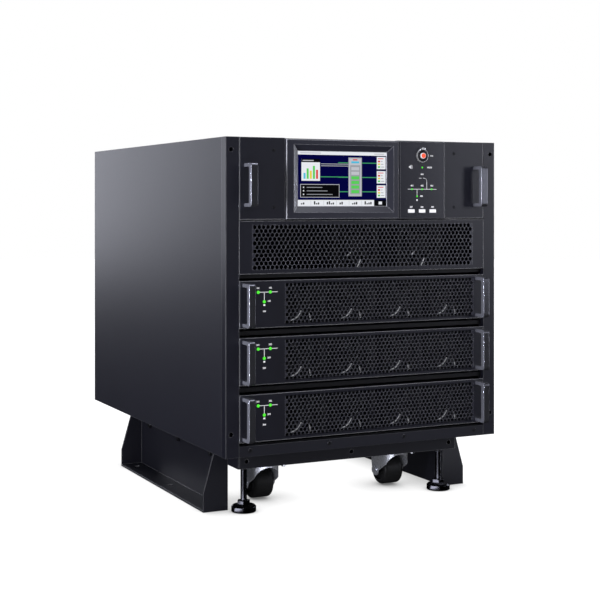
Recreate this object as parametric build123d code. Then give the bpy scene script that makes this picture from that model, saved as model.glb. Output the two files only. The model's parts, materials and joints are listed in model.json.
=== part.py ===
from build123d import *
import os

# A modular UPS cabinet: a rack-width sheet-metal housing with a display section, an intake
# grille, three plug-in power modules, and a base frame on casters, levelling feet and
# stabiliser brackets. Sizes are in millimetres. Every shape is drawn with x across, y back
# from the front plane and z up from the housing's underside, then moved to the part's frame,
# whose origin is at the middle of the floor footprint.

# Housing
panel_width = 482.6
housing_depth = 654.0
sheet = 1.5
edge_break = 1.0
flange_depth = 13.5
running_gap = 0.3
cut_overrun = 5.0

# Rack ears
ear_width = 22.0
ear_sheet = 2.0
ear_depth = 16.5
ear_inner_depth = 10.0
ear_edge = 0.8
ear_hole_radius = 3.5
ear_hole_inset = 8.8
ear_hole_low = 35.5
ear_hole_drop = 19.3
panel_return = 20.0

# Display section
display_height = 124.5
display_gap = 2.2
fascia_left_width = 77.3
fascia_right_width = 76.2
bezel_rise = 3.0
bezel_depth = 13.5
bezel_step_down = 1.7
screen_left_margin = 22.5
screen_right_margin = 19.4
screen_low_margin = 20.2
screen_top_margin = 18.0
screen_sink = 6.5
screen_chamfer = 10.0
screen_sheet = 3.0
screen_seat = 4.0
control_gap = 0.4
control_width = 86.3
control_rise = 3.0
control_edge = 2.0

# Emergency-off button, its collar and the three keys
control_offset = -0.9
button_drop = 23.8
collar_radius = 10.9
collar_height = 3.0
collar_bore_radius = 5.2
collar_edge = 0.8
button_radius = 4.6
button_proud = 2.5
button_length = 13.0
button_retainer_radius = 7.0
button_retainer_sheet = 1.5
guard_width = 7.0
guard_reach = 6.0
guard_wire = 1.6
key_width = 11.6
key_height = 5.3
key_pitch = 20.05
key_rise = 12.05
key_proud = 1.2
key_gap = 0.35
key_retainer = 1.2
key_retainer_sheet = 1.0
key_corner = 0.5

# Handles
handle_reach = 25.5
handle_bar = 8.0
handle_arm = 5.6
handle_corner = 5.0
handle_inner_corner = 3.0
handle_edge = 0.7
upper_handle_inset = 14.3
upper_handle_width = 12.0
upper_handle_rise = 18.9
module_handle_inset = 9.9
module_handle_width = 10.8
module_handle_low_gap = 2.3
module_handle_top_gap = 3.3

# Intake grille and its two fans
intake_height = 80.3
intake_gap = 10.2
intake_field_side_margin = 22.85
intake_field_low_margin = 9.0
intake_field_top_margin = 8.7
intake_fan_left_x = -10.0
intake_fan_pitch = 117.0
intake_fan_count = 2
fan_set_back = 19.0
fan_depth = 25.0

# Power modules
module_count = 3
module_height = 71.6
module_gap = 14.2
module_low_gap = 5.2
module_side_gap = 0.8
face_sheet = 2.0
face_edge = 1.1
case_inset = 1.0
case_side_inset = 6.5
case_rear_room = 64.0
case_wall = 1.5
case_rear_edge = 3.0
module_field_left_margin = 76.7
module_field_right_margin = 20.0
module_field_low_margin = 6.8
module_field_top_margin = 7.2
module_fan_room = 0.6
module_fan_pitch = 88.0
module_fan_count = 4
pocket_side_room = 5.0

# Coarse honeycomb: three rows stand for the eleven of the real sheet
comb_rows = 3
comb_pitch_share = 1.19
comb_hole_share = 0.42

# Fans
fan_wall = 2.5
fan_sides = 16
hub_radius_share = 0.22
hub_sides = 12
blade_count = 5
blade_sheet = 1.6
blade_tilt = 38.0
blade_chord_share = 0.2
blade_tip_gap = 1.5
strut_width = 3.0
strut_sheet = 3.0
strut_count = 3

# Bay shelves and runners
lip_set_back = 8.0
lip_height = 6.5
runner_height = 5.0
runner_width = 10.0
runner_inset = 14.0
rear_stop_gap = 20.0

# Lower front strip
strip_height = 16.4

# Rear panel
vent_slot_width = 6.0
vent_slot_count = 20
vent_side_margin = 65.8
vent_end_margin = 9.8
terminal_side_margin = 65.8
terminal_low_margin = 20.5
terminal_top_margin = 20.0
terminal_depth = 2.0

# Base frame
base_front = 51.0
base_rear_gap = 96.0
base_height = 29.0
base_side_inset = 42.6
base_sheet = 2.5
base_shelf_depth = 120.0
base_lip_depth = 12.0
base_hole_radius = 3.5
base_hole_inset = 14.2
base_hole_drop = 17.8

# Stabiliser brackets
stabiliser_set_back = 41.0
stabiliser_rear_gap = 63.0
stabiliser_sheet = 3.0
stabiliser_width = 41.3
gusset_top_width = 21.3
gusset_knee = 30.0
flange_hole_inset = 20.0
flange_hole_radius = 5.0
flange_hole_end = 30.0
flange_hole_count = 3

# Levelling feet
foot_inset = 19.7
foot_set_back = 24.0
foot_pad_radius = 19.5
foot_rim_height = 8.2
foot_cone_height = 10.4
foot_neck_radius = 17.3
foot_rim_edge = 1.2
foot_nut_across = 18.4
foot_nut_height = 7.0
foot_stud_radius = 5.0
foot_stud_gap = 0.4
foot_stud_top_drop = 20.0
weld_nut_across = 19.0
weld_nut_height = 8.0

# Casters
caster_inset = 77.2
caster_set_back = 79.0
caster_trail = 17.0
wheel_radius = 25.0
wheel_width = 36.0
wheel_corner = 6.0
wheel_crown_gap = 9.7
wheel_lift = 2.0
wheel_bore_radius = 4.2
wheel_dish_depth = 3.0
wheel_dish_radius = 17.0
wheel_hub_radius = 8.0
axle_radius = 4.0
axle_head_radius = 6.5
axle_head_height = 3.0
caster_plate_size = 60.0
caster_plate_sheet = 2.5
caster_plate_corner = 6.0
race_radius = 20.0
race_height = 4.5
kingpin_radius = 5.0
kingpin_gap = 0.3
kingpin_head_radius = 8.0
kingpin_head_height = 2.5
fork_sheet = 2.0
fork_width = 48.0
fork_front = 25.0
fork_rear = 33.0
fork_corner = 20.0
fork_lobe_radius = 10.0
fork_cheek_front = 18.0
fork_arch_radius = 21.5
fork_arch_drop = 28.0

# Places worked out from the sizes above: across
half_width = panel_width / 2
bay_half = half_width - ear_width
inner_half = half_width - sheet
module_half = bay_half - module_side_gap
case_half = module_half - case_side_inset
bezel_left = fascia_left_width - bay_half
control_right = bay_half - fascia_right_width
control_left = control_right - control_width
control_middle = control_left + control_width / 2
button_middle = control_middle + control_offset
bezel_right = control_left - control_gap
screen_left = bezel_left + screen_left_margin
screen_width = bezel_right - screen_right_margin - screen_left
base_half_width = half_width - base_side_inset
stabiliser_reach = base_half_width + stabiliser_width

# Upwards from the housing's underside
module_low = strip_height + module_low_gap
module_lows = [module_low + place * (module_height + module_gap) for place in range(module_count)]
intake_low = module_lows[-1] + module_height + intake_gap
display_low = intake_low + intake_height + display_gap
housing_height = display_low + display_height
bezel_top = housing_height - bezel_step_down
screen_low = display_low + screen_low_margin
screen_height = bezel_top - screen_top_margin - screen_low
button_z = housing_height - button_drop
handle_height = module_height - module_handle_low_gap - module_handle_top_gap

# Downwards from the housing's underside
race_bottom = -base_height - caster_plate_sheet - race_height
crown_top = race_bottom - running_gap
wheel_axle_z = crown_top - fork_sheet - wheel_crown_gap - wheel_radius
floor_gap = wheel_radius + wheel_lift - wheel_axle_z

# From the front plane back
case_length = housing_depth - case_rear_room
base_rear = housing_depth - base_rear_gap
base_length = base_rear - base_front
front_y = handle_reach - (housing_depth + handle_reach) / 2


def save(name, *solids):
    """Move solids to the part's frame and write them as one named piece."""
    placed = [Pos(0, front_y, floor_gap) * solid for solid in solids]
    shape = placed[0] if len(placed) == 1 else Compound(children=placed)
    export_step(shape, os.path.join("parts", name + ".step"))
    print(name, round(shape.volume))


def block(x_range, y_range, z_range):
    """A box between two planes on each axis."""
    spans = [high - low for low, high in (x_range, y_range, z_range)]
    middles = [(high + low) / 2 for low, high in (x_range, y_range, z_range)]
    return Pos(*middles) * Box(*spans)


def from_front(sketch, y_start, thickness):
    """A sketch of x and z made solid, from y_start towards the back."""
    return extrude(Plane.XZ.offset(-y_start) * sketch, amount=thickness, dir=(0, 1, 0))


def from_left(sketch, x_start, width):
    """A sketch of y and z made solid, from x_start towards the right."""
    return extrude(Plane.YZ.offset(x_start) * sketch, amount=width, dir=(1, 0, 0))


def from_below(sketch, z_start, height):
    """A sketch of x and y made solid, from z_start upwards."""
    return extrude(Plane.XY.offset(z_start) * sketch, amount=height, dir=(0, 0, 1))


def outline(*points):
    """A closed face through points, given in order."""
    return make_face(Polyline(*points, close=True))


def upright_pin(radius, z_start, height, x=0, y=0):
    return Pos(x, y, z_start + height / 2) * Cylinder(radius, height)


def back_pin(radius, y_start, length, x=0, z=0):
    """A cylinder that runs from y_start towards the back."""
    return Pos(x, y_start + length / 2, z) * Rot(90, 0, 0) * Cylinder(radius, length)


def cross_pin(radius, x_start, length, y=0, z=0):
    """A cylinder that runs from x_start towards the right."""
    return Pos(x_start + length / 2, y, z) * Rot(0, 90, 0) * Cylinder(radius, length)


def deck(z_start, tongue_front, thickness=sheet):
    """A full-width sheet whose front narrows to fit between the rack ears."""
    shoulder = ear_depth + sheet
    plan = outline(
        (-bay_half, tongue_front), (bay_half, tongue_front),
        (bay_half, shoulder), (inner_half, shoulder),
        (inner_half, housing_depth - sheet), (-inner_half, housing_depth - sheet),
        (-inner_half, shoulder), (-bay_half, shoulder))
    return from_below(plan, z_start, thickness)


def pan_profile(z_low, z_high, depth=flange_depth):
    """The section of a front sheet with a flange turned back along its top and bottom."""
    return outline(
        (0, z_low), (depth, z_low), (depth, z_low + sheet), (sheet, z_low + sheet),
        (sheet, z_high - sheet), (depth, z_high - sheet), (depth, z_high), (0, z_high))


def comb_cutters(field_left, field_low, width, height, y_start, depth):
    """Six-sided cutters in staggered rows that fill a field."""
    row_pitch = height / comb_rows
    pitch = row_pitch * comb_pitch_share
    hole = RegularPolygon(row_pitch * comb_hole_share, 6, rotation=30)
    columns = int(width / pitch)
    left = field_left + (width - columns * pitch) / 2
    places = []
    for row in range(comb_rows):
        odd = row % 2
        for column in range(columns - odd):
            x = left + (column + (1 + odd) / 2) * pitch
            places.append(Pos(x, field_low + (row + 1 / 2) * row_pitch))
    return [from_front(place * hole, y_start, depth) for place in places]


def side_panel(side):
    """A flat side sheet with a return behind the rack ear."""
    inner = half_width - panel_return
    plan = outline(
        (side * half_width, ear_depth), (side * inner, ear_depth),
        (side * inner, ear_depth + sheet), (side * inner_half, ear_depth + sheet),
        (side * inner_half, housing_depth), (side * half_width, housing_depth))
    return from_below(plan, 0, housing_height)


def rack_ear(side):
    """A channel that faces back, with two holes to bolt the cabinet to a rack."""
    outer_wall = half_width - ear_sheet
    inner_wall = bay_half + ear_sheet
    plan = outline(
        (side * half_width, 0), (side * bay_half, 0), (side * bay_half, ear_inner_depth),
        (side * inner_wall, ear_inner_depth), (side * inner_wall, ear_sheet),
        (side * outer_wall, ear_sheet), (side * outer_wall, ear_depth),
        (side * half_width, ear_depth))
    ear = from_below(plan, 0, housing_height)
    corner = ear.edges().filter_by(Axis.Z).group_by(Axis.Y)[0].sort_by(Axis.X)[0 if side < 0 else -1]
    ear = chamfer(corner, ear_edge)
    for z in (ear_hole_low, housing_height - ear_hole_drop):
        ear -= back_pin(ear_hole_radius, -cut_overrun, ear_sheet + 2 * cut_overrun,
                        x=side * (half_width - ear_hole_inset), z=z)
    return ear


def ease_sides(panel):
    """The front panel with its two upright front edges broken."""
    return chamfer(panel.edges().filter_by(Axis.Z).group_by(Axis.Y)[0], edge_break)


def fascia(x_left, x_right):
    """A plain front sheet of the display section, flanged at top and bottom."""
    profile = pan_profile(display_low, housing_height)
    return ease_sides(from_left(profile, x_left, x_right - x_left))


def display_bezel():
    """The raised screen surround, with a bevelled window and a seat for the glass."""
    body = block((bezel_left, bezel_right), (-bezel_rise, bezel_depth), (display_low, bezel_top))
    body = chamfer(body.faces().sort_by(Axis.Y)[0].edges(), edge_break)
    middle = Pos(screen_left + screen_width / 2, screen_low + screen_height / 2)
    wide = middle * Rectangle(screen_width + 2 * screen_chamfer, screen_height + 2 * screen_chamfer)
    narrow = middle * Rectangle(screen_width, screen_height)
    glass_front = screen_sink - bezel_rise
    bevel = loft([Plane.XZ.offset(bezel_rise) * wide, Plane.XZ.offset(-glass_front) * narrow])
    body -= bevel
    body -= from_front(screen_seat_sketch(), glass_front, bezel_depth + cut_overrun)
    return body


def screen_seat_sketch():
    """The glass's outline, wider than the window by its seat."""
    middle = Pos(screen_left + screen_width / 2, screen_low + screen_height / 2)
    return middle * Rectangle(screen_width + 2 * screen_seat, screen_height + 2 * screen_seat)


def display_screen():
    return from_front(screen_seat_sketch(), screen_sink - bezel_rise, screen_sheet)


def key_sketch(place, grow):
    """One key's outline, grown on every side."""
    x = button_middle + place * key_pitch
    middle = Pos(x, display_low + key_rise)
    return middle * RectangleRounded(key_width + 2 * grow, key_height + 2 * grow, key_corner)


def control_plate():
    """The raised plate that holds the emergency-off button, the lamps and the keys."""
    profile = pan_profile(display_low, housing_height)
    plate = from_left(profile, control_left, control_width)
    skin = block((control_left, control_right), (-control_rise, sheet), (display_low, bezel_top))
    sides = skin.edges().filter_by(Axis.Z).group_by(Axis.Y)[0]
    plate += chamfer(sides, control_edge)
    start = -control_rise - cut_overrun
    through = control_rise + sheet + 2 * cut_overrun
    plate -= back_pin(collar_bore_radius, start, through, x=button_middle, z=button_z)
    for place in (-1, 0, 1):
        plate -= from_front(key_sketch(place, key_gap), start, through)
    return plate


def button_collar():
    """A turned ring on the control plate, with a small hinge loop for its guard."""
    ring = back_pin(collar_radius, -control_rise - collar_height, collar_height,
                    x=button_middle, z=button_z)
    ring = chamfer(ring.edges().group_by(Axis.Y)[0], collar_edge)
    bore_length = collar_height + 2 * cut_overrun
    ring -= back_pin(collar_bore_radius, -control_rise - collar_height - cut_overrun,
                     bore_length, x=button_middle, z=button_z)
    loop_z = button_z + collar_radius
    loop = block((button_middle - guard_width / 2, button_middle + guard_width / 2),
                 (-control_rise - guard_reach, -control_rise),
                 (loop_z - guard_wire, loop_z + guard_wire))
    inner = guard_width / 2 - guard_wire
    hollow = block((button_middle - inner, button_middle + inner),
                   (-control_rise - guard_reach + guard_wire, -control_rise + cut_overrun),
                   (loop_z, loop_z + guard_wire + cut_overrun))
    return ring + (loop - hollow)


def emergency_off_button():
    """A plunger in the collar, with a retainer behind the plate."""
    front = -control_rise - collar_height - button_proud
    plunger = back_pin(button_radius, front, button_length, x=button_middle, z=button_z)
    plunger = fillet(plunger.edges().group_by(Axis.Y)[0], button_radius / 4)
    retainer = back_pin(button_retainer_radius, sheet + running_gap, button_retainer_sheet,
                        x=button_middle, z=button_z)
    return plunger + retainer


def control_key(place):
    """One key cap, with a retainer behind the plate."""
    front = -control_rise - key_proud
    depth = sheet + running_gap - front
    cap = from_front(key_sketch(place, 0), front, depth)
    return cap + from_front(key_sketch(place, key_retainer), sheet + running_gap,
                            key_retainer_sheet)


def handle(x_middle, width, z_low):
    """A bow handle on the front plane: a flat bar on two arms."""
    z_high = z_low + handle_height
    profile = outline((0, z_low), (-handle_reach, z_low), (-handle_reach, z_high), (0, z_high))
    profile = fillet(profile.vertices().group_by(Axis.X)[0], handle_corner)
    gap = outline(
        (cut_overrun, z_low + handle_arm), (handle_bar - handle_reach, z_low + handle_arm),
        (handle_bar - handle_reach, z_high - handle_arm), (cut_overrun, z_high - handle_arm))
    gap = fillet(gap.vertices().group_by(Axis.X)[0], handle_inner_corner)
    bow = from_left(profile - gap, x_middle - width / 2, width)
    outer = bow.edges().filter_by(Axis.Z).group_by(Axis.Y)[0]
    return chamfer(outer, handle_edge)


def handle_pair(x_middle, width, z_low):
    return [handle(side * x_middle, width, z_low) for side in (-1, 1)]


def upper_handles():
    return handle_pair(bay_half - upper_handle_inset, upper_handle_width,
                       display_low + upper_handle_rise)


def module_handles(z_low):
    return handle_pair(module_half - module_handle_inset, module_handle_width,
                       z_low + module_handle_low_gap)


def intake_grille():
    """The flanged sheet over the intake fans, with a field of six-sided holes."""
    profile = pan_profile(intake_low, intake_low + intake_height)
    panel = ease_sides(from_left(profile, -bay_half, 2 * bay_half))
    field_half = bay_half - intake_field_side_margin
    field_height = intake_height - intake_field_low_margin - intake_field_top_margin
    return panel - comb_cutters(-field_half, intake_low + intake_field_low_margin,
                                2 * field_half, field_height,
                                -cut_overrun, sheet + 2 * cut_overrun)


def intake_fans():
    size = intake_height - running_gap
    return [fan(intake_fan_left_x + place * intake_fan_pitch, intake_low, size)
            for place in range(intake_fan_count)]


def fan(x_middle, z_low, size):
    """An axial fan: square frame, round bore, hub on three struts, and tilted blades."""
    z_middle = z_low + size / 2
    bore = size / 2 - fan_wall
    hub = size * hub_radius_share
    middle = Pos(x_middle, z_middle)
    frame = from_front(middle * Rectangle(size, size) - middle * RegularPolygon(bore, fan_sides),
                       fan_set_back, fan_depth)
    back = fan_set_back + fan_depth
    body = frame + from_front(middle * RegularPolygon(hub, hub_sides), fan_set_back + fan_wall,
                              fan_depth - fan_wall)
    for turn in range(strut_count):
        strut = Pos((hub / 2 + bore) / 2, 0) * Rectangle(bore - hub / 2, strut_width)
        body += from_front(middle * Rot(0, 0, 360 * turn / strut_count) * strut,
                           back - strut_sheet, strut_sheet)
    blade_length = bore - blade_tip_gap - hub / 2
    blade = Box(blade_length, size * blade_chord_share, blade_sheet)
    blade_middle = fan_set_back + (fan_depth - strut_sheet) / 2
    for turn in range(blade_count):
        swing = Rot(0, 360 * turn / blade_count, 0)
        tilt = Rot(blade_tilt, 0, 0)
        body += (Pos(x_middle, blade_middle, z_middle) * swing
                 * Pos(hub / 2 + blade_length / 2, 0, 0) * tilt * blade)
    return body


def lipped_shelf(top):
    """A full-width shelf with a turned-down lip, set back behind the front plane."""
    shelf = deck(top - sheet, lip_set_back)
    return shelf + block((-bay_half, bay_half), (lip_set_back, lip_set_back + sheet),
                         (top - lip_height, top))


def shelf_top(z_low):
    """The height of the shelf under the module whose face starts at z_low."""
    return z_low + case_inset - running_gap - runner_height


def bay_runner(z_low, side):
    """A strip on a shelf that a module slides along."""
    top = shelf_top(z_low)
    inner = case_half - runner_inset
    x_range = sorted((side * inner, side * (inner + runner_width)))
    return block(x_range, (ear_depth, housing_depth - rear_stop_gap), (top, top + runner_height))


def display_shelf():
    """The shelf that divides the display section from the intake."""
    return deck(intake_low + intake_height, flange_depth)


def module_field_sides():
    """Where the face's field of holes starts and ends."""
    return module_field_left_margin - module_half, module_half - module_field_right_margin


def module_fan_places():
    """The middles of the module's fans, centred behind the field of holes."""
    middle = sum(module_field_sides()) / 2
    return [middle + (place - (module_fan_count - 1) / 2) * module_fan_pitch
            for place in range(module_fan_count)]


def module_fan_size():
    return module_height - 2 * (case_inset + case_wall) - module_fan_room


def module_face(z_low):
    """The module's front sheet, bevelled round its edge, with its field of holes."""
    z_high = z_low + module_height
    face = block((-module_half, module_half), (0, face_sheet), (z_low, z_high))
    face = chamfer(face.faces().sort_by(Axis.Y)[0].edges(), face_edge)
    field_left, field_right = module_field_sides()
    field_height = module_height - module_field_low_margin - module_field_top_margin
    return face - comb_cutters(field_left, z_low + module_field_low_margin,
                               field_right - field_left, field_height,
                               -cut_overrun, face_sheet + 2 * cut_overrun)


def module_case(z_low):
    """The module's closed housing, open only where its fans stand behind the face."""
    low = z_low + case_inset
    high = z_low + module_height - case_inset
    case = block((-case_half, case_half), (face_sheet, case_length), (low, high))
    case = chamfer(case.faces().sort_by(Axis.Y)[-1].edges(), case_rear_edge)
    fans = module_fan_places()
    side_room = module_fan_size() / 2 + pocket_side_room
    pocket = block((fans[0] - side_room, fans[-1] + side_room),
                   (0, fan_set_back + fan_depth), (low + case_wall, high - case_wall))
    return case - pocket


def module_fans(z_low):
    low = z_low + case_inset + case_wall
    return [fan(x, low, module_fan_size()) for x in module_fan_places()]


def lower_strip():
    """The front strip below the modules, with a ledge that meets the lowest shelf."""
    profile = outline((0, 0), (sheet, 0), (sheet, strip_height - sheet),
                      (lip_set_back, strip_height - sheet), (lip_set_back, strip_height),
                      (0, strip_height))
    return ease_sides(from_left(profile, -bay_half, 2 * bay_half))


def rear_panel():
    """The back sheet, slotted behind each module for its exhaust."""
    panel = block((-inner_half, inner_half), (housing_depth - sheet, housing_depth),
                  (0, housing_height))
    span = 2 * (inner_half - vent_side_margin) - vent_slot_width
    pitch = span / (vent_slot_count - 1)
    for z_low in module_lows:
        for place in range(vent_slot_count):
            x = place * pitch - span / 2
            panel -= block((x - vent_slot_width / 2, x + vent_slot_width / 2),
                           (housing_depth - sheet - cut_overrun, housing_depth + cut_overrun),
                           (z_low + vent_end_margin, z_low + module_height - vent_end_margin))
    return panel - from_front(terminal_window(), housing_depth - sheet - cut_overrun,
                              2 * cut_overrun)


def terminal_window():
    """The outline of the opening over the cable terminals."""
    width = 2 * (inner_half - terminal_side_margin)
    low = display_low + terminal_low_margin
    height = housing_height - terminal_top_margin - low
    return Pos(0, low + height / 2) * Rectangle(width, height)


def terminal_cover():
    """A removable plate over the cable terminals, let into the back sheet's window."""
    return from_front(terminal_window(), housing_depth - terminal_depth, terminal_depth)


def base_beam():
    """The front cross beam: a channel whose lower flange carries a caster and a foot each side."""
    low = -base_height
    profile = outline(
        (base_front, 0), (base_front + base_lip_depth, 0),
        (base_front + base_lip_depth, -base_sheet), (base_front + base_sheet, -base_sheet),
        (base_front + base_sheet, low + base_sheet),
        (base_front + base_shelf_depth, low + base_sheet),
        (base_front + base_shelf_depth, low), (base_front, low))
    half = base_half_width - base_sheet
    beam = from_left(profile, -half, 2 * half)
    for side in (-1, 0, 1):
        x = side * (base_half_width - base_hole_inset)
        beam -= back_pin(base_hole_radius, base_front - cut_overrun,
                         base_sheet + 2 * cut_overrun, x=x, z=-base_hole_drop)
    nut_radius = weld_nut_across / 3 ** (1 / 2)
    for side in (-1, 1):
        y = base_front + foot_set_back
        x = side * (base_half_width - foot_inset)
        beam += from_below(Pos(x, y) * RegularPolygon(nut_radius, 6), low + base_sheet,
                           weld_nut_height)
        beam -= upright_pin(foot_stud_radius + foot_stud_gap, low - cut_overrun,
                            base_height, x=x, y=y)
    return beam


def base_rail(side):
    """A side rail of the base frame."""
    low = -base_height
    lip = base_half_width - base_lip_depth
    inner = base_half_width - base_sheet
    web = block(sorted((side * inner, side * base_half_width)), (base_front, base_rear), (low, 0))
    free = base_front + base_shelf_depth
    return web + block(sorted((side * lip, side * inner)),
                       (free, base_front + base_rear - free), (low, low + base_sheet))


def turned(solid):
    """The same piece at the other end of the base frame, turned half round."""
    middle = base_front + base_length / 2
    return Pos(0, middle, 0) * Rot(0, 0, 180) * Pos(0, -middle, 0) * solid


def stabiliser(side):
    """An angle bracket on the side rail, with a floor flange and an end gusset at each end."""
    y_start = base_front + stabiliser_set_back
    y_end = base_rear - stabiliser_rear_gap
    inner = base_half_width
    outer = inner + stabiliser_sheet
    web = block(sorted((side * inner, side * outer)), (y_start, y_end), (-floor_gap, 0))
    flange = block(sorted((side * inner, side * stabiliser_reach)), (y_start, y_end),
                   (-floor_gap, stabiliser_sheet - floor_gap))
    bracket = web + flange
    gusset = outline(
        (side * inner, 0), (side * (inner + gusset_top_width), 0),
        (side * stabiliser_reach, gusset_knee - floor_gap),
        (side * stabiliser_reach, -floor_gap), (side * inner, -floor_gap))
    for y in (y_start, y_end - stabiliser_sheet):
        bracket += from_front(gusset, y, stabiliser_sheet)
    first = y_start + flange_hole_end
    pitch = (y_end - flange_hole_end - first) / (flange_hole_count - 1)
    for place in range(flange_hole_count):
        bracket -= upright_pin(flange_hole_radius, -floor_gap - cut_overrun,
                               2 * cut_overrun + stabiliser_sheet,
                               x=side * (stabiliser_reach - flange_hole_inset),
                               y=first + place * pitch)
    return bracket


def levelling_foot(side):
    """A round pad with a coned top, a hex and a threaded stud."""
    x = side * (base_half_width - foot_inset)
    y = base_front + foot_set_back
    half_section = outline(
        (0, 0), (foot_pad_radius - foot_rim_edge, 0), (foot_pad_radius, foot_rim_edge),
        (foot_pad_radius, foot_rim_height), (foot_neck_radius, foot_cone_height),
        (0, foot_cone_height))
    pad = revolve(Plane.XZ * half_section, Axis.Z)
    nut = from_below(RegularPolygon(foot_nut_across / 3 ** (1 / 2), 6), foot_cone_height,
                     foot_nut_height)
    stud_start = foot_cone_height
    stud_end = floor_gap - foot_stud_top_drop
    stud = upright_pin(foot_stud_radius, stud_start, stud_end - stud_start)
    return Pos(x, y, -floor_gap) * (pad + nut + stud)


def caster_plate(side):
    """A caster's top plate, with its ball race and kingpin."""
    x = side * (base_half_width - caster_inset)
    y = base_front + caster_set_back
    plate = from_below(Pos(x, y) * RectangleRounded(caster_plate_size, caster_plate_size,
                                                    caster_plate_corner),
                       -base_height - caster_plate_sheet, caster_plate_sheet)
    race = upright_pin(race_radius, race_bottom, race_height, x=x, y=y)
    pin_end = crown_top - fork_sheet - kingpin_gap
    pin = upright_pin(kingpin_radius, pin_end, race_bottom - pin_end, x=x, y=y)
    head = upright_pin(kingpin_head_radius, pin_end - kingpin_head_height, kingpin_head_height,
                       x=x, y=y)
    return plate + race + pin + head


def caster_fork(side):
    """The pressed swivel fork: a crown, two cheeks and an arched front apron, with its axle."""
    x = side * (base_half_width - caster_inset)
    y = base_front + caster_set_back
    axle_y = y + caster_trail
    low = wheel_axle_z - fork_lobe_radius
    height = crown_top - low
    half = fork_width / 2
    plan = Pos(x, y) * outline((-half, -fork_front), (half, -fork_front),
                               (half, fork_rear), (-half, fork_rear))
    plan = fillet(plan.vertices().group_by(Axis.Y)[0], fork_corner)
    inner = half - fork_sheet
    room = Pos(x, y) * outline((-inner, fork_sheet - fork_front), (inner, fork_sheet - fork_front),
                               (inner, fork_rear + cut_overrun), (-inner, fork_rear + cut_overrun))
    room = fillet(room.vertices().group_by(Axis.Y)[0], fork_corner - fork_sheet)
    shell = from_below(plan, low, height)
    shell -= from_below(room, low - cut_overrun, height - fork_sheet + cut_overrun)
    cheek_low = crown_top - fork_cheek_front
    side_view = outline(
        (y - fork_front, crown_top), (y + fork_rear, crown_top),
        (y + fork_rear, crown_top - 2 * fork_sheet), (axle_y + fork_lobe_radius, wheel_axle_z),
        (axle_y, wheel_axle_z), (axle_y - fork_lobe_radius, wheel_axle_z),
        (y - fork_front, cheek_low))
    lobe = Pos(axle_y, wheel_axle_z) * Circle(fork_lobe_radius)
    trim = from_left(side_view + lobe, x - half, fork_width)
    shell = shell & trim
    arch = from_front(Pos(x, crown_top - fork_arch_drop) * Circle(fork_arch_radius),
                      y - fork_front - cut_overrun, fork_front + cut_overrun)
    shell -= arch
    shell -= upright_pin(kingpin_radius + kingpin_gap, crown_top - fork_sheet - cut_overrun,
                         fork_sheet + 2 * cut_overrun, x=x, y=y)
    axle = cross_pin(axle_radius, x - half, fork_width, y=axle_y, z=wheel_axle_z)
    heads = [cross_pin(axle_head_radius, start, axle_head_height, y=axle_y, z=wheel_axle_z)
             for start in (x - half - axle_head_height, x + half)]
    return shell + axle + heads[0] + heads[1]


def caster_wheel(side):
    """The wheel: a rounded tread, dished sides and a bored hub."""
    half = wheel_width / 2
    section = outline((-half, wheel_bore_radius), (half, wheel_bore_radius),
                      (half, wheel_hub_radius), (half - wheel_dish_depth, wheel_hub_radius),
                      (half - wheel_dish_depth, wheel_dish_radius), (half, wheel_dish_radius),
                      (half, wheel_radius), (-half, wheel_radius),
                      (-half, wheel_dish_radius), (wheel_dish_depth - half, wheel_dish_radius),
                      (wheel_dish_depth - half, wheel_hub_radius), (-half, wheel_hub_radius))
    section = fillet(section.vertices().group_by(Axis.Y)[-1], wheel_corner)
    wheel = revolve(section, Axis.X)
    axle_y = base_front + caster_set_back + caster_trail
    return Pos(side * (base_half_width - caster_inset), axle_y, wheel_axle_z) * wheel


def main():
    os.makedirs("parts", exist_ok=True)
    save("left_side_panel", side_panel(-1))
    save("right_side_panel", side_panel(1))
    save("top_cover", deck(housing_height - sheet, flange_depth))
    save("floor_pan", deck(0, sheet))
    save("rear_panel", rear_panel())
    save("terminal_cover", terminal_cover())
    save("rack_ears", rack_ear(-1), rack_ear(1))
    save("fascia_panels", fascia(-bay_half, bezel_left), fascia(control_right, bay_half))
    save("display_bezel", display_bezel())
    save("display_screen", display_screen())
    save("control_plate", control_plate())
    save("button_collar", button_collar())
    save("emergency_off_button", emergency_off_button())
    for place, name in ((-1, "left"), (0, "middle"), (1, "right")):
        save("control_key_" + name, control_key(place))
    save("upper_handles", *upper_handles())
    save("intake_grille", intake_grille())
    save("intake_fans", *intake_fans())
    shelves = [lipped_shelf(shelf_top(z_low)) for z_low in module_lows]
    save("bay_shelves", *shelves, lipped_shelf(intake_low), display_shelf())
    save("bay_runners", *[bay_runner(z_low, side) for z_low in module_lows for side in (-1, 1)])
    save("lower_front_strip", lower_strip())
    save("base_beams", base_beam(), turned(base_beam()))
    save("base_side_rails", base_rail(-1), base_rail(1))
    save("left_stabiliser", stabiliser(-1))
    save("right_stabiliser", stabiliser(1))
    for number, z_low in enumerate(reversed(module_lows), start=1):
        name = "module_" + str(number)
        save(name + "_case", module_case(z_low))
        save(name + "_face", module_face(z_low))
        save(name + "_fans", *module_fans(z_low))
        save(name + "_handles", *module_handles(z_low))
    plates = [caster_plate(-1), caster_plate(1)]
    save("caster_plates", *plates, *[turned(plate) for plate in plates])
    for side, name in ((-1, "left"), (1, "right")):
        save("foot_front_" + name, levelling_foot(side))
        save("foot_rear_" + name, turned(levelling_foot(-side)))
        save("caster_fork_front_" + name, caster_fork(side))
        save("caster_wheel_front_" + name, caster_wheel(side))
        save("caster_fork_rear_" + name, turned(caster_fork(-side)))
        save("caster_wheel_rear_" + name, turned(caster_wheel(-side)))


main()
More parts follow.
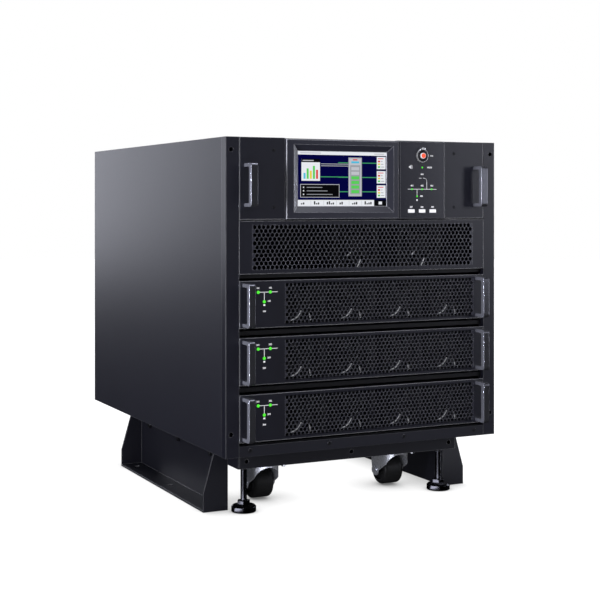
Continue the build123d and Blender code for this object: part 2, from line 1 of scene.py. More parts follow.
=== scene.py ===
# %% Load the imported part
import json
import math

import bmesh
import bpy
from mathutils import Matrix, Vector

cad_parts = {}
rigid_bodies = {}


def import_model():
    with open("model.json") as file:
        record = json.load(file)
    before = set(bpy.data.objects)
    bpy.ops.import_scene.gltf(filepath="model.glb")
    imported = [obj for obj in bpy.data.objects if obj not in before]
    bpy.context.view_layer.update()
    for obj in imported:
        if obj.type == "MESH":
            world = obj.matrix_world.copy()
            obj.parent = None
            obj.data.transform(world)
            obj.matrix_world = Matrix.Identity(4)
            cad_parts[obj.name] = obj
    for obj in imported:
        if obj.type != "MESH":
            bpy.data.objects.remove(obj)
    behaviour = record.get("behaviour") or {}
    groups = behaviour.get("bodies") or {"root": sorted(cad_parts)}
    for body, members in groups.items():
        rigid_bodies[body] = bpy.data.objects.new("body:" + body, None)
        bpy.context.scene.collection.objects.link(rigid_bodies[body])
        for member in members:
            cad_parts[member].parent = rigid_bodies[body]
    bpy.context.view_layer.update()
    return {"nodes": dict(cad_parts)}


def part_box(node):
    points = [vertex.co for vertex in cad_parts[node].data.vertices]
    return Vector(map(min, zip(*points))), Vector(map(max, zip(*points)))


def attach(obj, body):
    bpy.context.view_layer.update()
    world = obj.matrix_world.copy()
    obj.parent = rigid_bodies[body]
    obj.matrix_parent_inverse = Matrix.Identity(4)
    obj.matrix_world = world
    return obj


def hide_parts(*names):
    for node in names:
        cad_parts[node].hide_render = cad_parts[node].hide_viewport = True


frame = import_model()

# %% [markdown]
# This lesson dresses a modular UPS cabinet, the rack-width battery-backup cabinet that stands
# in a data room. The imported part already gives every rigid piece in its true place, in metres,
# with +Z up and the front facing -Y. Blender adds what a solid model leaves plain: finishes,
# fine perforation, screws, lamps, printed lines, the lit screen and the studio round it.
# A size is written in millimetres times mm, and a place is worked out from the box of the
# piece that carries it, so that nothing floats if the part changes.

mm = 0.001
scene = bpy.context.scene
shown_nodes = frame["nodes"]
print("pieces from the part:", len(shown_nodes))


def feed(tree, node, inputs):
    """Give a node's inputs a plain value, another node's socket, or its first open output."""
    for name, value in inputs.items():
        if isinstance(value, bpy.types.Node):
            value = next(socket for socket in value.outputs if socket.enabled)
        if isinstance(value, bpy.types.NodeSocket):
            tree.links.new(value, node.inputs[name])
        else:
            node.inputs[name].default_value = value


def add_node(tree, kind, inputs=None, **settings):
    """Add a node to a tree, set it and feed it."""
    node = tree.nodes.new(kind)
    for key, value in settings.items():
        setattr(node, key, value)
    feed(tree, node, inputs or {})
    return node


def new_material(name):
    """A material with its node tree and its Principled shader."""
    material = bpy.data.materials.new(name)
    material.use_nodes = True
    return material, material.node_tree, material.node_tree.nodes["Principled BSDF"]


# %% [markdown]
# The photograph was taken from the front left, with the lens level with the upper part of the
# cabinet. A level camera keeps upright edges upright. Such a picture is framed by sliding the
# sensor down rather than by tilting the camera, which is what the vertical shift does here.

# %% Camera
image_side = 600
focal_length_in_pixels = 1294.17
horizon_row = 203.1
sensor_width = 36.0
camera_place = Vector((-993.4, -2096.7, 482.2)) * mm
camera_turn = math.radians(26.166)

camera_data = bpy.data.cameras.new("photo_camera")
camera_data.sensor_width = sensor_width
camera_data.lens = focal_length_in_pixels / image_side * sensor_width
camera_data.shift_y = (horizon_row - image_side / 2) / image_side
camera = bpy.data.objects.new("photo_camera", camera_data)
camera.location = camera_place
camera.rotation_euler = (math.radians(90), 0, -camera_turn)
scene.collection.objects.link(camera)
scene.camera = camera
scene.view_settings.view_transform = "Standard"
print("lens in mm:", round(camera_data.lens, 1))

# %% [markdown]
# The studio is a white sweep: floor and background are both so bright that no horizon shows,
# and only small contact shadows tie the cabinet to the ground. The floor is mostly lit from
# within, so that it stays white under the cabinet. An Ambient Occlusion node dims that light
# within a few centimetres of whatever stands on it, which draws the contact shadows. The
# world lights the paint evenly but is kept out of reflections, so that the softboxes alone
# draw the highlights.

# %% Floor and world
floor_radius = 9.0
floor_segments = 48
floor_glow_share = 0.85
floor_glow = 1.2
contact_reach = 0.060
contact_glow = 0.05
floor_colour = (0.9, 0.9, 0.9, 1.0)
world_colour = (1.0, 1.0, 1.0, 1.0)
world_strength = 1.0

world = bpy.data.worlds.new("white_room")
world.use_nodes = True
feed(world.node_tree, world.node_tree.nodes["Background"], {
    "Color": world_colour, "Strength": world_strength})
scene.world = world
world.cycles_visibility.glossy = False

floor_mesh = bpy.data.meshes.new("studio_floor")
floor_shape = bmesh.new()
bmesh.ops.create_circle(floor_shape, cap_ends=True, segments=floor_segments,
                        radius=floor_radius)
floor_shape.to_mesh(floor_mesh)
floor_shape.free()
floor = bpy.data.objects.new("studio_floor", floor_mesh)
scene.collection.objects.link(floor)
floor.visible_glossy = False

floor_white, floor_tree, _ = new_material("studio_white")
floor_tree.nodes.clear()
floor_matt = add_node(floor_tree, "ShaderNodeBsdfDiffuse", {"Color": floor_colour})
floor_contact = add_node(floor_tree, "ShaderNodeAmbientOcclusion", {"Distance": contact_reach})
floor_range = add_node(floor_tree, "ShaderNodeMapRange", {
    "Value": floor_contact.outputs["AO"], "To Min": contact_glow, "To Max": floor_glow})
floor_light = add_node(floor_tree, "ShaderNodeEmission", {
    "Strength": floor_range})
floor_mix = add_node(floor_tree, "ShaderNodeMixShader", {
    "Fac": floor_glow_share, 1: floor_matt, 2: floor_light})
add_node(floor_tree, "ShaderNodeOutputMaterial", {"Surface": floor_mix})
floor_mesh.materials.append(floor_white)
print("floor radius in m:", floor_radius)

# %% [markdown]
# Dark satin paint shows its shape through reflections. The photograph has a broad pale sheen
# over the upper rear of the side, bright edges that face left, and a front that grows lighter
# towards the right. A flat side seen from the front left mirrors what stands behind it on the
# left, so a wide box is put there, low enough that its lower edge falls across the panel and
# makes the sheen fade downwards. The front mirrors what stands far to the right front, and the
# sloping left wall of the display's frame mirrors what stands at the right. Edges that face
# left and front need a tall box on the left, and top facets one overhead.

# %% Softboxes
side_middle = Vector((-0.24, 0.0, 0.40))
front_middle = Vector((0.10, -0.31, 0.35))
light_tint = (0.95, 0.97, 1.08)


def softbox(name, place, size, radiance, target):
    """An area light that faces its target; radiance is how bright its face looks."""
    data = bpy.data.lights.new(name, "AREA")
    data.shape = "RECTANGLE"
    data.size, data.size_y = size
    data.energy = radiance * math.pi * size[0] * size[1]
    data.color = light_tint
    light = bpy.data.objects.new(name, data)
    light.location = place
    light.rotation_euler = (Vector(place) - target).to_track_quat("Z", "Y").to_euler()
    light.visible_camera = False
    scene.collection.objects.link(light)
    return light


lights = [
    softbox("back_left_box", (-0.36, 2.90, 1.00), (2.10, 1.60), 3.2, side_middle),
    softbox("left_box", (-2.70, -1.20, 0.60), (0.28, 1.50), 26.0, front_middle),
    softbox("right_front_box", (2.14, -2.68, 0.85), (0.70, 1.30), 3.2, front_middle),
    softbox("right_box", (2.40, -0.15, 0.60), (1.00, 1.20), 9.5, front_middle),
    softbox("top_box", (0.70, -0.60, 2.60), (1.50, 1.10), 5.0, front_middle),
    softbox("front_top_box", (-0.40, -1.90, 2.30), (0.60, 0.30), 7.0, front_middle),
    softbox("back_right_box", (1.90, 2.10, 1.20), (1.20, 1.20), 2.5, front_middle),
]
print("softboxes:", [light.name for light in lights])

# %% [markdown]
# Powder coat is sprayed as dust and baked. It flows into a skin with a faint orange peel, and
# it is never quite even in gloss. One helper makes each opaque finish: a Principled shader
# whose colour and roughness drift with broad noise, whose grain comes from fine noise through
# a Bump node, and whose sharp edges are eased by a Bevel node, because real sheet metal has
# no knife edges. All noise reads Object coordinates, which are the part's own metres.
#
# Along each eased edge a pale painted highlight is mixed into the colour. The eased normal
# leans away from the flat one only near an edge, and how far it leans is therefore a ready mask
# for that painted highlight.

# %% Finish helper
edge_samples = 4
# Painted edge highlight: it starts where the eased and flat normals are this alike, is full at the
# next value, and takes the tint after that.
flat_alike = 0.985
highlight_alike = 0.80
highlight_tint = (0.96, 0.97, 1.04)
broad_scale = 7.0
broad_detail = 4.0
grain_detail = 3.0
gloss_drift = 0.12


def paint_edge_highlight(tree, eased, tone, highlight_level):
    """Mix a pale painted highlight into a colour where the eased normal leans away from the flat
    one.
    """
    flat = add_node(tree, "ShaderNodeNewGeometry")
    alike = add_node(tree, "ShaderNodeVectorMath", {
        0: eased, 1: flat.outputs["True Normal"]}, operation="DOT_PRODUCT")
    highlight_mask = add_node(tree, "ShaderNodeMapRange", {
        "Value": alike, "From Min": flat_alike, "From Max": highlight_alike})
    pale = add_node(tree, "ShaderNodeMix", {
        "Factor": highlight_mask, "A": tone,
        "B": (*(highlight_level * tint for tint in highlight_tint), 1.0)}, data_type="RGBA")
    return pale


def finish(name, colour, roughness, peel_size, peel_depth, drift=0.12, metallic=0.0,
           specular=0.5, stretch=(1, 1, 1), edge=0.6, second=None, highlight_level=0.0):
    """An opaque finish with drifting colour, fine grain, eased edges and a painted edge highlight;
    lengths in mm.
    """
    material, tree, shader = new_material(name)
    place = add_node(tree, "ShaderNodeTexCoord").outputs["Object"]
    spread = add_node(tree, "ShaderNodeMapping", {"Vector": place, "Scale": stretch})

    broad = add_node(tree, "ShaderNodeTexNoise", {
        "Vector": place, "Scale": broad_scale, "Detail": broad_detail})
    dark = [channel * (1 - drift) for channel in colour]
    light = second or [channel * (1 + drift) for channel in colour]
    tone = add_node(tree, "ShaderNodeMix", {
        "Factor": broad, "A": (*dark, 1.0), "B": (*light, 1.0)},
        data_type="RGBA")

    grain = add_node(tree, "ShaderNodeTexNoise", {
        "Vector": spread, "Scale": 1 / (peel_size * mm),
        "Detail": grain_detail})
    gloss = add_node(tree, "ShaderNodeMapRange", {
        "Value": grain, "To Min": roughness * (1 - gloss_drift),
        "To Max": roughness * (1 + gloss_drift)})
    bump = add_node(tree, "ShaderNodeBump", {"Distance": peel_depth * mm, "Height": grain})
    if edge:
        eased = add_node(tree, "ShaderNodeBevel", {"Radius": edge * mm}, samples=edge_samples)
        feed(tree, bump, {"Normal": eased})
        # A pale painted highlight along the eased edges.
        if highlight_level:
            tone = paint_edge_highlight(tree, eased, tone, highlight_level)
    feed(tree, shader, {"Metallic": metallic, "Specular IOR Level": specular,
                        "Roughness": gloss, "Base Color": tone, "Normal": bump})
    return material


print("finish helper ready, bevel samples:", edge_samples)

# %% [markdown]
# The cabinet's paints differ only slightly and share a blue-black colour. The housing and
# base are rougher than the front sheets, and the printed control plate is the glossiest. The
# front sheets carry the strongest painted edge highlight, the rack ears hardly any. The thin
# webs between the punched holes get a paint of their own, because all of a web is close to an
# edge. Their colour is lighter than the front sheets' colour, a painted highlight for the hole
# rims.
# The bays get a darker copy of the housing paint, as painted shade.

# %% Paints
housing_paint = finish("housing_paint", (0.0105, 0.0108, 0.0180), 0.42, 1.1, 0.03,
                       edge=1.2, highlight_level=0.12)
front_paint = finish("front_paint", (0.0072, 0.0074, 0.0135), 0.34, 1.0, 0.02,
                     edge=1.2, highlight_level=0.60)
ear_paint = finish("rack_ear_paint", (0.0072, 0.0074, 0.0135), 0.34, 1.0, 0.02,
                   edge=1.2, highlight_level=0.10)
# Lighter than the front paint: a painted highlight for the bright rims of the holes.
field_highlight_paint = finish("perforated_field_highlight_paint", (0.0185, 0.0188, 0.0290), 0.32, 1.0,
                     0.02, edge=0.3, highlight_level=0.30)
strip_paint = finish("lower_strip_paint", (0.0090, 0.0092, 0.0150), 0.36, 1.0, 0.02,
                     edge=1.0, highlight_level=0.05)
base_paint = finish("base_paint", (0.0090, 0.0092, 0.0150), 0.40, 1.1, 0.03,
                    edge=1.3, highlight_level=0.13)
# Darker than the housing paint: painted shade in the recessed bays between the modules.
bay_shade_paint = finish("bay_shade_paint", (0.0040, 0.0041, 0.0062), 0.50, 1.1, 0.03)
module_paint = finish("module_case_paint", (0.020, 0.0205, 0.026), 0.46, 1.2, 0.03)
control_skin = finish("control_skin", (0.0080, 0.0083, 0.0140), 0.23, 0.6, 0.010,
                      edge=1.0, highlight_level=0.25)
bezel_plastic = finish("bezel_plastic", (0.0110, 0.0113, 0.0180), 0.32, 0.5, 0.02,
                       edge=1.0, highlight_level=0.55)
paints = (housing_paint, front_paint, ear_paint, field_highlight_paint, strip_paint, base_paint,
          bay_shade_paint, module_paint, control_skin, bezel_plastic)
print("paints:", [paint.name for paint in paints])

# %% [markdown]
# The bright parts are metal. Galvanised sheet has broad soft spangle, the forks are pressed
# from zinc-plated steel that still shows its rolling direction, and the handles are cast and
# coated. Stretching the grain noise along one axis is what turns it into brushing. Rubber is
# the opposite: rough, black, and a little dusty, so its drift is strong and grey.

# %% Metals, rubber and plastics
handle_metal = finish("handle_metal", (0.072, 0.073, 0.083), 0.19, 0.8, 0.02,
                      metallic=0.86, edge=0.8)
galvanised = finish("galvanised_sheet", (0.42, 0.43, 0.45), 0.38, 9.0, 0.02,
                    drift=0.15, metallic=1.0)
fork_steel = finish("fork_zinc_plate", (0.50, 0.51, 0.55), 0.28, 0.5, 0.02,
                    drift=0.15, metallic=0.80, stretch=(1, 1, 0.08), edge=0.9)
bright_steel = finish("bright_steel", (0.60, 0.61, 0.63), 0.26, 0.4, 0.01,
                      metallic=1.0, edge=0.2)
wire_steel = finish("guard_wire_black", (0.008, 0.008, 0.010), 0.40, 0.4, 0.005,
                    edge=None)
# Pale and nearly matt: the struts' colour is a painted glint.
strut_glint_paint = finish("strut_bright_steel", (0.66, 0.67, 0.70), 0.30, 0.4, 0.005,
                     metallic=0.25, edge=None)
black_oxide = finish("black_oxide_steel", (0.020, 0.020, 0.024), 0.34, 0.3, 0.01,
                     metallic=0.6, edge=0.2)
foot_steel = finish("foot_black_steel", (0.060, 0.060, 0.068), 0.22, 0.6, 0.010,
                    metallic=1.0, edge=0.9)
collar_chrome = finish("collar_chrome", (0.72, 0.72, 0.74), 0.16, 0.4, 0.004,
                       drift=0.03, metallic=0.75, edge=0.3)
wheel_rubber = finish("wheel_rubber", (0.0050, 0.0050, 0.0062), 0.50, 0.5, 0.05,
                      drift=0.3, second=(0.0115, 0.0115, 0.0130), edge=0.8)
fan_plastic = finish("fan_plastic", (0.0025, 0.0025, 0.0034), 0.50, 0.4, 0.02,
                     specular=0.25)
button_red = finish("button_red", (0.80, 0.075, 0.022), 0.25, 0.4, 0.01, drift=0.05)
key_white = finish("key_white", (0.80, 0.80, 0.82), 0.42, 0.4, 0.02, drift=0.03)


tone_blur = 0.2 * mm
collar_seat_radius = 9.6 * mm
button_dome_radius = 3.9 * mm


def two_toned(material, axis_x, axis_z, radius, inside=None, outside=None):
    """Change a finish's colour inside or outside a circle about an axis along Y."""
    tree = material.node_tree
    shader = tree.nodes["Principled BSDF"]
    own = shader.inputs["Base Color"].links[0].from_socket
    place = add_node(tree, "ShaderNodeTexCoord")
    flat = add_node(tree, "ShaderNodeVectorMath", {
        0: place.outputs["Object"], 1: (1, 0, 1)}, operation="MULTIPLY")
    reach = add_node(tree, "ShaderNodeVectorMath", {
        0: flat, 1: (axis_x, 0, axis_z)}, operation="DISTANCE")
    beyond = add_node(tree, "ShaderNodeMapRange", {
        "Value": reach, "From Min": radius - tone_blur,
        "From Max": radius + tone_blur})
    choose = add_node(tree, "ShaderNodeMix", {
        "Factor": beyond, "A": (*inside, 1.0) if inside else own,
        "B": (*outside, 1.0) if outside else own}, data_type="RGBA")
    feed(tree, shader, {"Base Color": choose})


button_low, button_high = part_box("emergency_off_button")
button_middle = (button_low + button_high) / 2
two_toned(collar_chrome, button_middle.x, button_middle.z, collar_seat_radius,
          inside=(0.02, 0.02, 0.025))
two_toned(button_red, button_middle.x, button_middle.z, button_dome_radius,
          outside=(0.75, 0.75, 0.78))
print("metals and plastics ready")

# %% [markdown]
# Printed ink, lamps and the screen come last. Ink is a matt white film. A lamp is a small
# plastic lens, and a lit one gives off its own colour. The screen is a dark panel whose
# picture is light, so its colours go into the shader's emission rather than its base colour.

# %% Ink and light
lit_roughness = 0.3
lit_specular = 0.05


def lit(name, colour, strength=1.0):
    """A black surface that gives off its own colour."""
    material, tree, shader = new_material(name)
    feed(tree, shader, {
        "Base Color": (0.0, 0.0, 0.0, 1.0), "Roughness": lit_roughness,
        "Specular IOR Level": lit_specular, "Emission Color": (*colour, 1.0),
        "Emission Strength": strength})
    return material


white_ink = finish("white_ink", (0.72, 0.72, 0.74), 0.55, 0.3, 0.005, drift=0.03,
                   edge=None)
green_lamp = lit("green_lamp", (0.10, 0.90, 0.05))
dark_lamp = finish("dark_lamp", (0.012, 0.012, 0.014), 0.18, 0.4, 0.002, edge=None)
screen_colours = {
    "navy": lit("screen_navy", (0.0, 0.0, 0.045)),
    "white": lit("screen_white", (0.80, 0.82, 0.86)),
    "grey": lit("screen_grey", (0.33, 0.34, 0.37)),
    "pale": lit("screen_pale", (0.52, 0.53, 0.57)),
    "black": lit("screen_black", (0.0015, 0.0015, 0.002)),
    "green": lit("screen_green", (0.045, 0.30, 0.11)),
    "lime": lit("screen_lime", (0.10, 0.60, 0.10)),
    "red": lit("screen_red", (0.70, 0.06, 0.05)),
    "yellow": lit("screen_yellow", (0.80, 0.62, 0.05)),
    "cyan": lit("screen_cyan", (0.08, 0.50, 0.72)),
}
screen_navy = screen_colours["navy"]
print("screen colours:", len(screen_colours))

# %% [markdown]
# Each node of the part keeps its shape and takes its finish in its own material slot. A rule
# by name is shorter and safer than fifty lines of assignments.

# %% Finishes for the part's own pieces
finish_by_name = {
    "side_panel": housing_paint, "top_cover": housing_paint, "floor_pan": housing_paint,
    "rear_panel": housing_paint, "terminal_cover": housing_paint, "rack_ears": ear_paint,
    "fascia": front_paint, "display_bezel": bezel_plastic, "control_plate": control_skin,
    "display_screen": screen_navy,
    "button_collar": collar_chrome, "emergency_off": button_red, "control_key": key_white,
    "handles": handle_metal, "intake_grille": front_paint, "fans": fan_plastic,
    "bay_": bay_shade_paint, "lower_front": strip_paint, "base_": base_paint,
    "stabiliser": base_paint, "_case": module_paint, "_face": front_paint,
    "caster_plates": galvanised, "foot_": foot_steel, "caster_fork": fork_steel,
    "caster_wheel": wheel_rubber,
}


def give_finish(target, material):
    """Put one material on every face of an object."""
    target.data.materials.clear()
    target.data.materials.append(material)


for node_name, node in shown_nodes.items():
    for key, material in finish_by_name.items():
        if key in node_name:
            give_finish(node, material)
            break
unfinished = [name for name in shown_nodes
              if not any(key in name for key in finish_by_name)]
print("still to be finished:", unfinished)

# %% [markdown]
# The rest of the lesson adds new pieces. Two helpers place them. One makes a linked object
# that rides on a body of the part, so that it follows every joint. The other runs a Geometry
# Nodes tree on an object and keeps the plain mesh that comes out, because the exported model
# holds no instances and no modifiers.

# %% Piece helpers
facing = {
    "front": Matrix(((1, 0, 0), (0, 0, -1), (0, 1, 0))),
    "back": Matrix(((-1, 0, 0), (0, 0, 1), (0, 1, 0))),
    "left": Matrix(((0, 0, -1), (-1, 0, 0), (0, 1, 0))),
    "right": Matrix(((0, 0, 1), (1, 0, 0), (0, 1, 0))),
    "under": Matrix(((1, 0, 0), (0, -1, 0), (0, 0, -1))),
}


def stand(mesh, place):
    """Turn a mesh that lies flat to face the front, and move it to a place."""
    mesh.transform(Matrix.Translation(place) @ facing["front"].to_4x4())


def mesh_from(shape, name):
    """Write a bmesh into a new mesh and free it."""
    mesh = bpy.data.meshes.new(name)
    shape.to_mesh(mesh)
    shape.free()
    return mesh


def new_piece(name, shape, body, material):
    """Link a mesh or a bmesh as a piece that rides on a body."""
    mesh = mesh_from(shape, name) if isinstance(shape, bmesh.types.BMesh) else shape
    piece = bpy.data.objects.new(name, mesh)
    scene.collection.objects.link(piece)
    give_finish(piece, material)
    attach(piece, body)
    return piece


def start_tree(name, inputs):
    """A Geometry Nodes tree with named inputs and a geometry output."""
    tree = bpy.data.node_groups.new(name, "GeometryNodeTree")
    tree.interface.new_socket("Geometry", in_out="OUTPUT", socket_type="NodeSocketGeometry")
    tree.interface.new_socket("Geometry", in_out="INPUT", socket_type="NodeSocketGeometry")
    for label, kind in inputs:
        tree.interface.new_socket(label, in_out="INPUT", socket_type="NodeSocket" + kind)
    return tree, tree.nodes.new("NodeGroupInput").outputs, tree.nodes.new("NodeGroupOutput")


def close_tree(tree, geometry, material, made):
    """End a tree with real geometry in one material."""
    whole = add_node(tree, "GeometryNodeRealizeInstances", {"Geometry": geometry})
    feed(tree, made, {"Geometry": add_node(tree, "GeometryNodeSetMaterial", {
        "Geometry": whole, "Material": material})})


def join(tree, *parts):
    """Join several geometries of a tree into one."""
    joined = tree.nodes.new("GeometryNodeJoinGeometry")
    for part in parts:
        feed(tree, joined, {"Geometry": part})
    return joined


def swept(tree, path, sides, radius):
    """Sweep a section with a few sides along a curve."""
    section = add_node(tree, "GeometryNodeCurvePrimitiveCircle", {
        "Resolution": sides, "Radius": radius})
    return add_node(tree, "GeometryNodeCurveToMesh", {
        "Curve": path, "Profile Curve": section, "Fill Caps": True})


def calc(tree, operation, first, second=None):
    """A Math node; an argument is a node, a socket or a number."""
    values = {0: first} if second is None else {0: first, 1: second}
    return add_node(tree, "ShaderNodeMath", values, operation=operation)


def run_tree(tree, base_mesh, values, name):
    """Evaluate a tree on a mesh and return the plain mesh that it makes."""
    carrier = bpy.data.objects.new(name + "_carrier", base_mesh)
    scene.collection.objects.link(carrier)
    modifier = carrier.modifiers.new("tree", "NODES")
    modifier.node_group = tree
    for socket in tree.interface.items_tree:
        if socket.in_out == "INPUT" and socket.name in values:
            modifier[socket.identifier] = values[socket.name]
    carrier.update_tag()
    depsgraph = bpy.context.evaluated_depsgraph_get()
    mesh = bpy.data.meshes.new_from_object(carrier.evaluated_get(depsgraph))
    mesh.name = name
    bpy.data.objects.remove(carrier)
    return mesh


def points_mesh(points, name):
    """A mesh of loose points, which a tree can put things on."""
    mesh = bpy.data.meshes.new(name)
    mesh.from_pydata([tuple(point) for point in points], [], [])
    return mesh


# %% [markdown]
# Air enters through punched sheets: eleven staggered rows of six-sided holes over the intake
# and over each module. A tree lays a grid of points, moves every second row by half a pitch,
# puts a six-sided curve on each point, and fills the sheet's outline around them. Extruding
# that fill gives real holes with real walls, which an image or a bump could not.

# %% Perforated field tree
perforated_inputs = [
    ("Width", "Float"), ("Height", "Float"), ("Pitch", "Float"), ("Row pitch", "Float"),
    ("Hole radius", "Float"), ("Sheet", "Float"), ("Columns", "Int"), ("Rows", "Int"),
    ("Paint", "Material"),
]
hole_sides = 6
hole_turn = math.radians(30)
weld_reach = 0.01 * mm
perforated, given, made = start_tree("perforated_field", perforated_inputs)
columns_less_one = calc(perforated, "SUBTRACT", given["Columns"], 1)
rows_less_one = calc(perforated, "SUBTRACT", given["Rows"], 1)
grid_height = calc(perforated, "MULTIPLY", rows_less_one, given["Row pitch"])
grid = add_node(perforated, "GeometryNodeMeshGrid", {
    "Size X": calc(perforated, "MULTIPLY", columns_less_one, given["Pitch"]),
    "Size Y": grid_height, "Vertices X": given["Columns"], "Vertices Y": given["Rows"]})

where = add_node(perforated, "GeometryNodeInputPosition")
apart = add_node(perforated, "ShaderNodeSeparateXYZ", {"Vector": where})
from_foot = calc(perforated, "ADD", apart.outputs["Y"],
                 calc(perforated, "MULTIPLY", grid_height, 0.5))
row_number = calc(perforated, "ROUND",
                  calc(perforated, "DIVIDE", from_foot, given["Row pitch"]))
odd_row = calc(perforated, "MODULO", row_number, 2)
shift = calc(perforated, "MULTIPLY", calc(perforated, "MULTIPLY", given["Pitch"], 0.5),
             calc(perforated, "SUBTRACT", odd_row, 0.5))
sideways = add_node(perforated, "ShaderNodeCombineXYZ", {"X": shift})
stagger = add_node(perforated, "GeometryNodeSetPosition", {
    "Geometry": grid, "Offset": sideways})

hole = add_node(perforated, "GeometryNodeCurvePrimitiveCircle", {
    "Resolution": hole_sides, "Radius": given["Hole radius"]})
punched = add_node(perforated, "GeometryNodeInstanceOnPoints", {
    "Points": stagger, "Instance": hole,
    "Rotation": (0, 0, hole_turn)})
outline = add_node(perforated, "GeometryNodeCurvePrimitiveQuadrilateral", {
    "Width": given["Width"], "Height": given["Height"]})
real_curves = add_node(perforated, "GeometryNodeRealizeInstances", {
    "Geometry": join(perforated, outline, punched)})
filled = add_node(perforated, "GeometryNodeFillCurve", {
    "Curve": real_curves})

walls = add_node(perforated, "GeometryNodeExtrudeMesh", {
    "Mesh": filled, "Offset Scale": given["Sheet"], "Individual": False})
back = add_node(perforated, "GeometryNodeFlipFaces", {"Mesh": filled})
welded = add_node(perforated, "GeometryNodeMergeByDistance", {
    "Geometry": join(perforated, walls, back),
    "Distance": weld_reach})
close_tree(perforated, welded, given["Paint"], made)
print("perforated field tree:", len(perforated.nodes), "nodes")

# %% [markdown]
# A punched sheet has a plain margin round its field and an edge that is eased or folded back.
# The margin is built as a grid of cells with the field's window left open, given a wall, and
# bevelled along its front outline. The field then sits flush in the window.

# %% Sheet with windows
def lies_at(line, axis, value, edge):
    """Whether both ends of an edge have the same place along an axis, within a tenth of edge."""
    return all(abs(vertex.co[axis] - value) < edge / 10 for vertex in line.verts)


def sheet_shape(left_low, right_high, windows, depth, edge):
    """A sheet in the x-z plane with its front at y = 0 and rectangular windows left open."""
    shape = bmesh.new()
    cuts_x = sorted({left_low[0], right_high[0]} | {w[side] for w in windows for side in (0, 2)})
    cuts_z = sorted({left_low[1], right_high[1]} | {w[side] for w in windows for side in (1, 3)})
    corners = {(x, z): shape.verts.new((x, 0, z)) for x in cuts_x for z in cuts_z}
    for x0, x1 in zip(cuts_x, cuts_x[1:]):
        for z0, z1 in zip(cuts_z, cuts_z[1:]):
            middle_x, middle_z = (x0 + x1) / 2, (z0 + z1) / 2
            if any(w[0] < middle_x < w[2] and w[1] < middle_z < w[3] for w in windows):
                continue
            shape.faces.new([corners[x0, z0], corners[x1, z0], corners[x1, z1], corners[x0, z1]])
    loose = [vertex for vertex in shape.verts if not vertex.link_faces]
    bmesh.ops.delete(shape, geom=loose, context="VERTS")
    front = list(shape.faces)
    grown = bmesh.ops.extrude_face_region(shape, geom=front, use_keep_orig=True)
    moved = [item for item in grown["geom"] if isinstance(item, bmesh.types.BMVert)]
    bmesh.ops.translate(shape, verts=moved, vec=(0, depth, 0))
    bmesh.ops.recalc_face_normals(shape, faces=list(shape.faces))
    outer_lines = ((0, left_low[0]), (0, right_high[0]), (2, left_low[1]), (2, right_high[1]))
    rim = [line for line in shape.edges if lies_at(line, 1, 0, edge)
           and any(lies_at(line, axis, value, edge) for axis, value in outer_lines)]
    bmesh.ops.bevel(shape, geom=rim, offset=edge, segments=3, profile=0.5, affect="EDGES")
    return shape


def add_box(shape, low, high):
    """Add a closed box to a bmesh."""
    box = bmesh.ops.create_cube(shape, size=1.0)
    size = [b - a for a, b in zip(low, high)]
    middle = [(a + b) / 2 for a, b in zip(low, high)]
    bmesh.ops.scale(shape, verts=box["verts"], vec=size)
    bmesh.ops.translate(shape, verts=box["verts"], vec=middle)


def open_window(shape, left, low, right, high):
    """Take away a window's walls, so that its field meets the sheet without an edge."""
    slack = 0.05 * mm
    walls = [face for face in shape.faces if abs(face.normal.y) < 0.5
             and left - slack < face.calc_center_median().x < right + slack
             and low - slack < face.calc_center_median().z < high + slack]
    bmesh.ops.delete(shape, geom=walls, context="FACES_ONLY")


def field_mesh(window, back, sheet, holes):
    """A perforated field that fills a window, with its back at y = back."""
    left, low, right, high = window
    field = run_tree(perforated, points_mesh([(0, 0, 0)], "field_base"), {
        "Width": right - left, "Height": high - low, "Sheet": sheet, "Paint": field_highlight_paint,
        **holes}, "field")
    stand(field, ((left + right) / 2, back, (low + high) / 2))
    return field


def punched_sheet(node, name, body, front, sheet, edge, holes, fields, finished, openings=(),
                  folds=()):
    """Replace a node by a sheet with its front at y = front and a perforated field in each
    window; fields gives each field's name and window, finished the sheet's paint and a slot
    name that is not used."""
    paint, slot = finished
    low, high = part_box(node)
    shape = sheet_shape((low.x, low.z), (high.x, high.z), [*openings, *fields.values()],
                        sheet, edge)
    for field_name, window in fields.items():
        open_window(shape, *window)
        new_piece(field_name, field_mesh(window, front + sheet, sheet, holes), body,
                  field_highlight_paint)
    for z0, z1 in folds:
        add_box(shape, (low.x, sheet, z0), (high.x, high.y - low.y, z1))
    bmesh.ops.translate(shape, verts=shape.verts, vec=(0, front, 0))
    piece = new_piece(name, shape, body, paint)
    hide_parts(node)
    print(name, "polygons:", len(piece.data.polygons), "holes:",
          holes["Columns"] * holes["Rows"] * len(fields))


print("sheet helpers ready")

# %% [markdown]
# The intake sheet is folded back along its top and bottom edges, which stiffens it, and the
# folds show in the gap above the modules. Sheet, field and folds are built in place, and the
# new pieces take over from the plainer one in the part. A hole is measured across its flats,
# and the tree takes the radius to a corner.

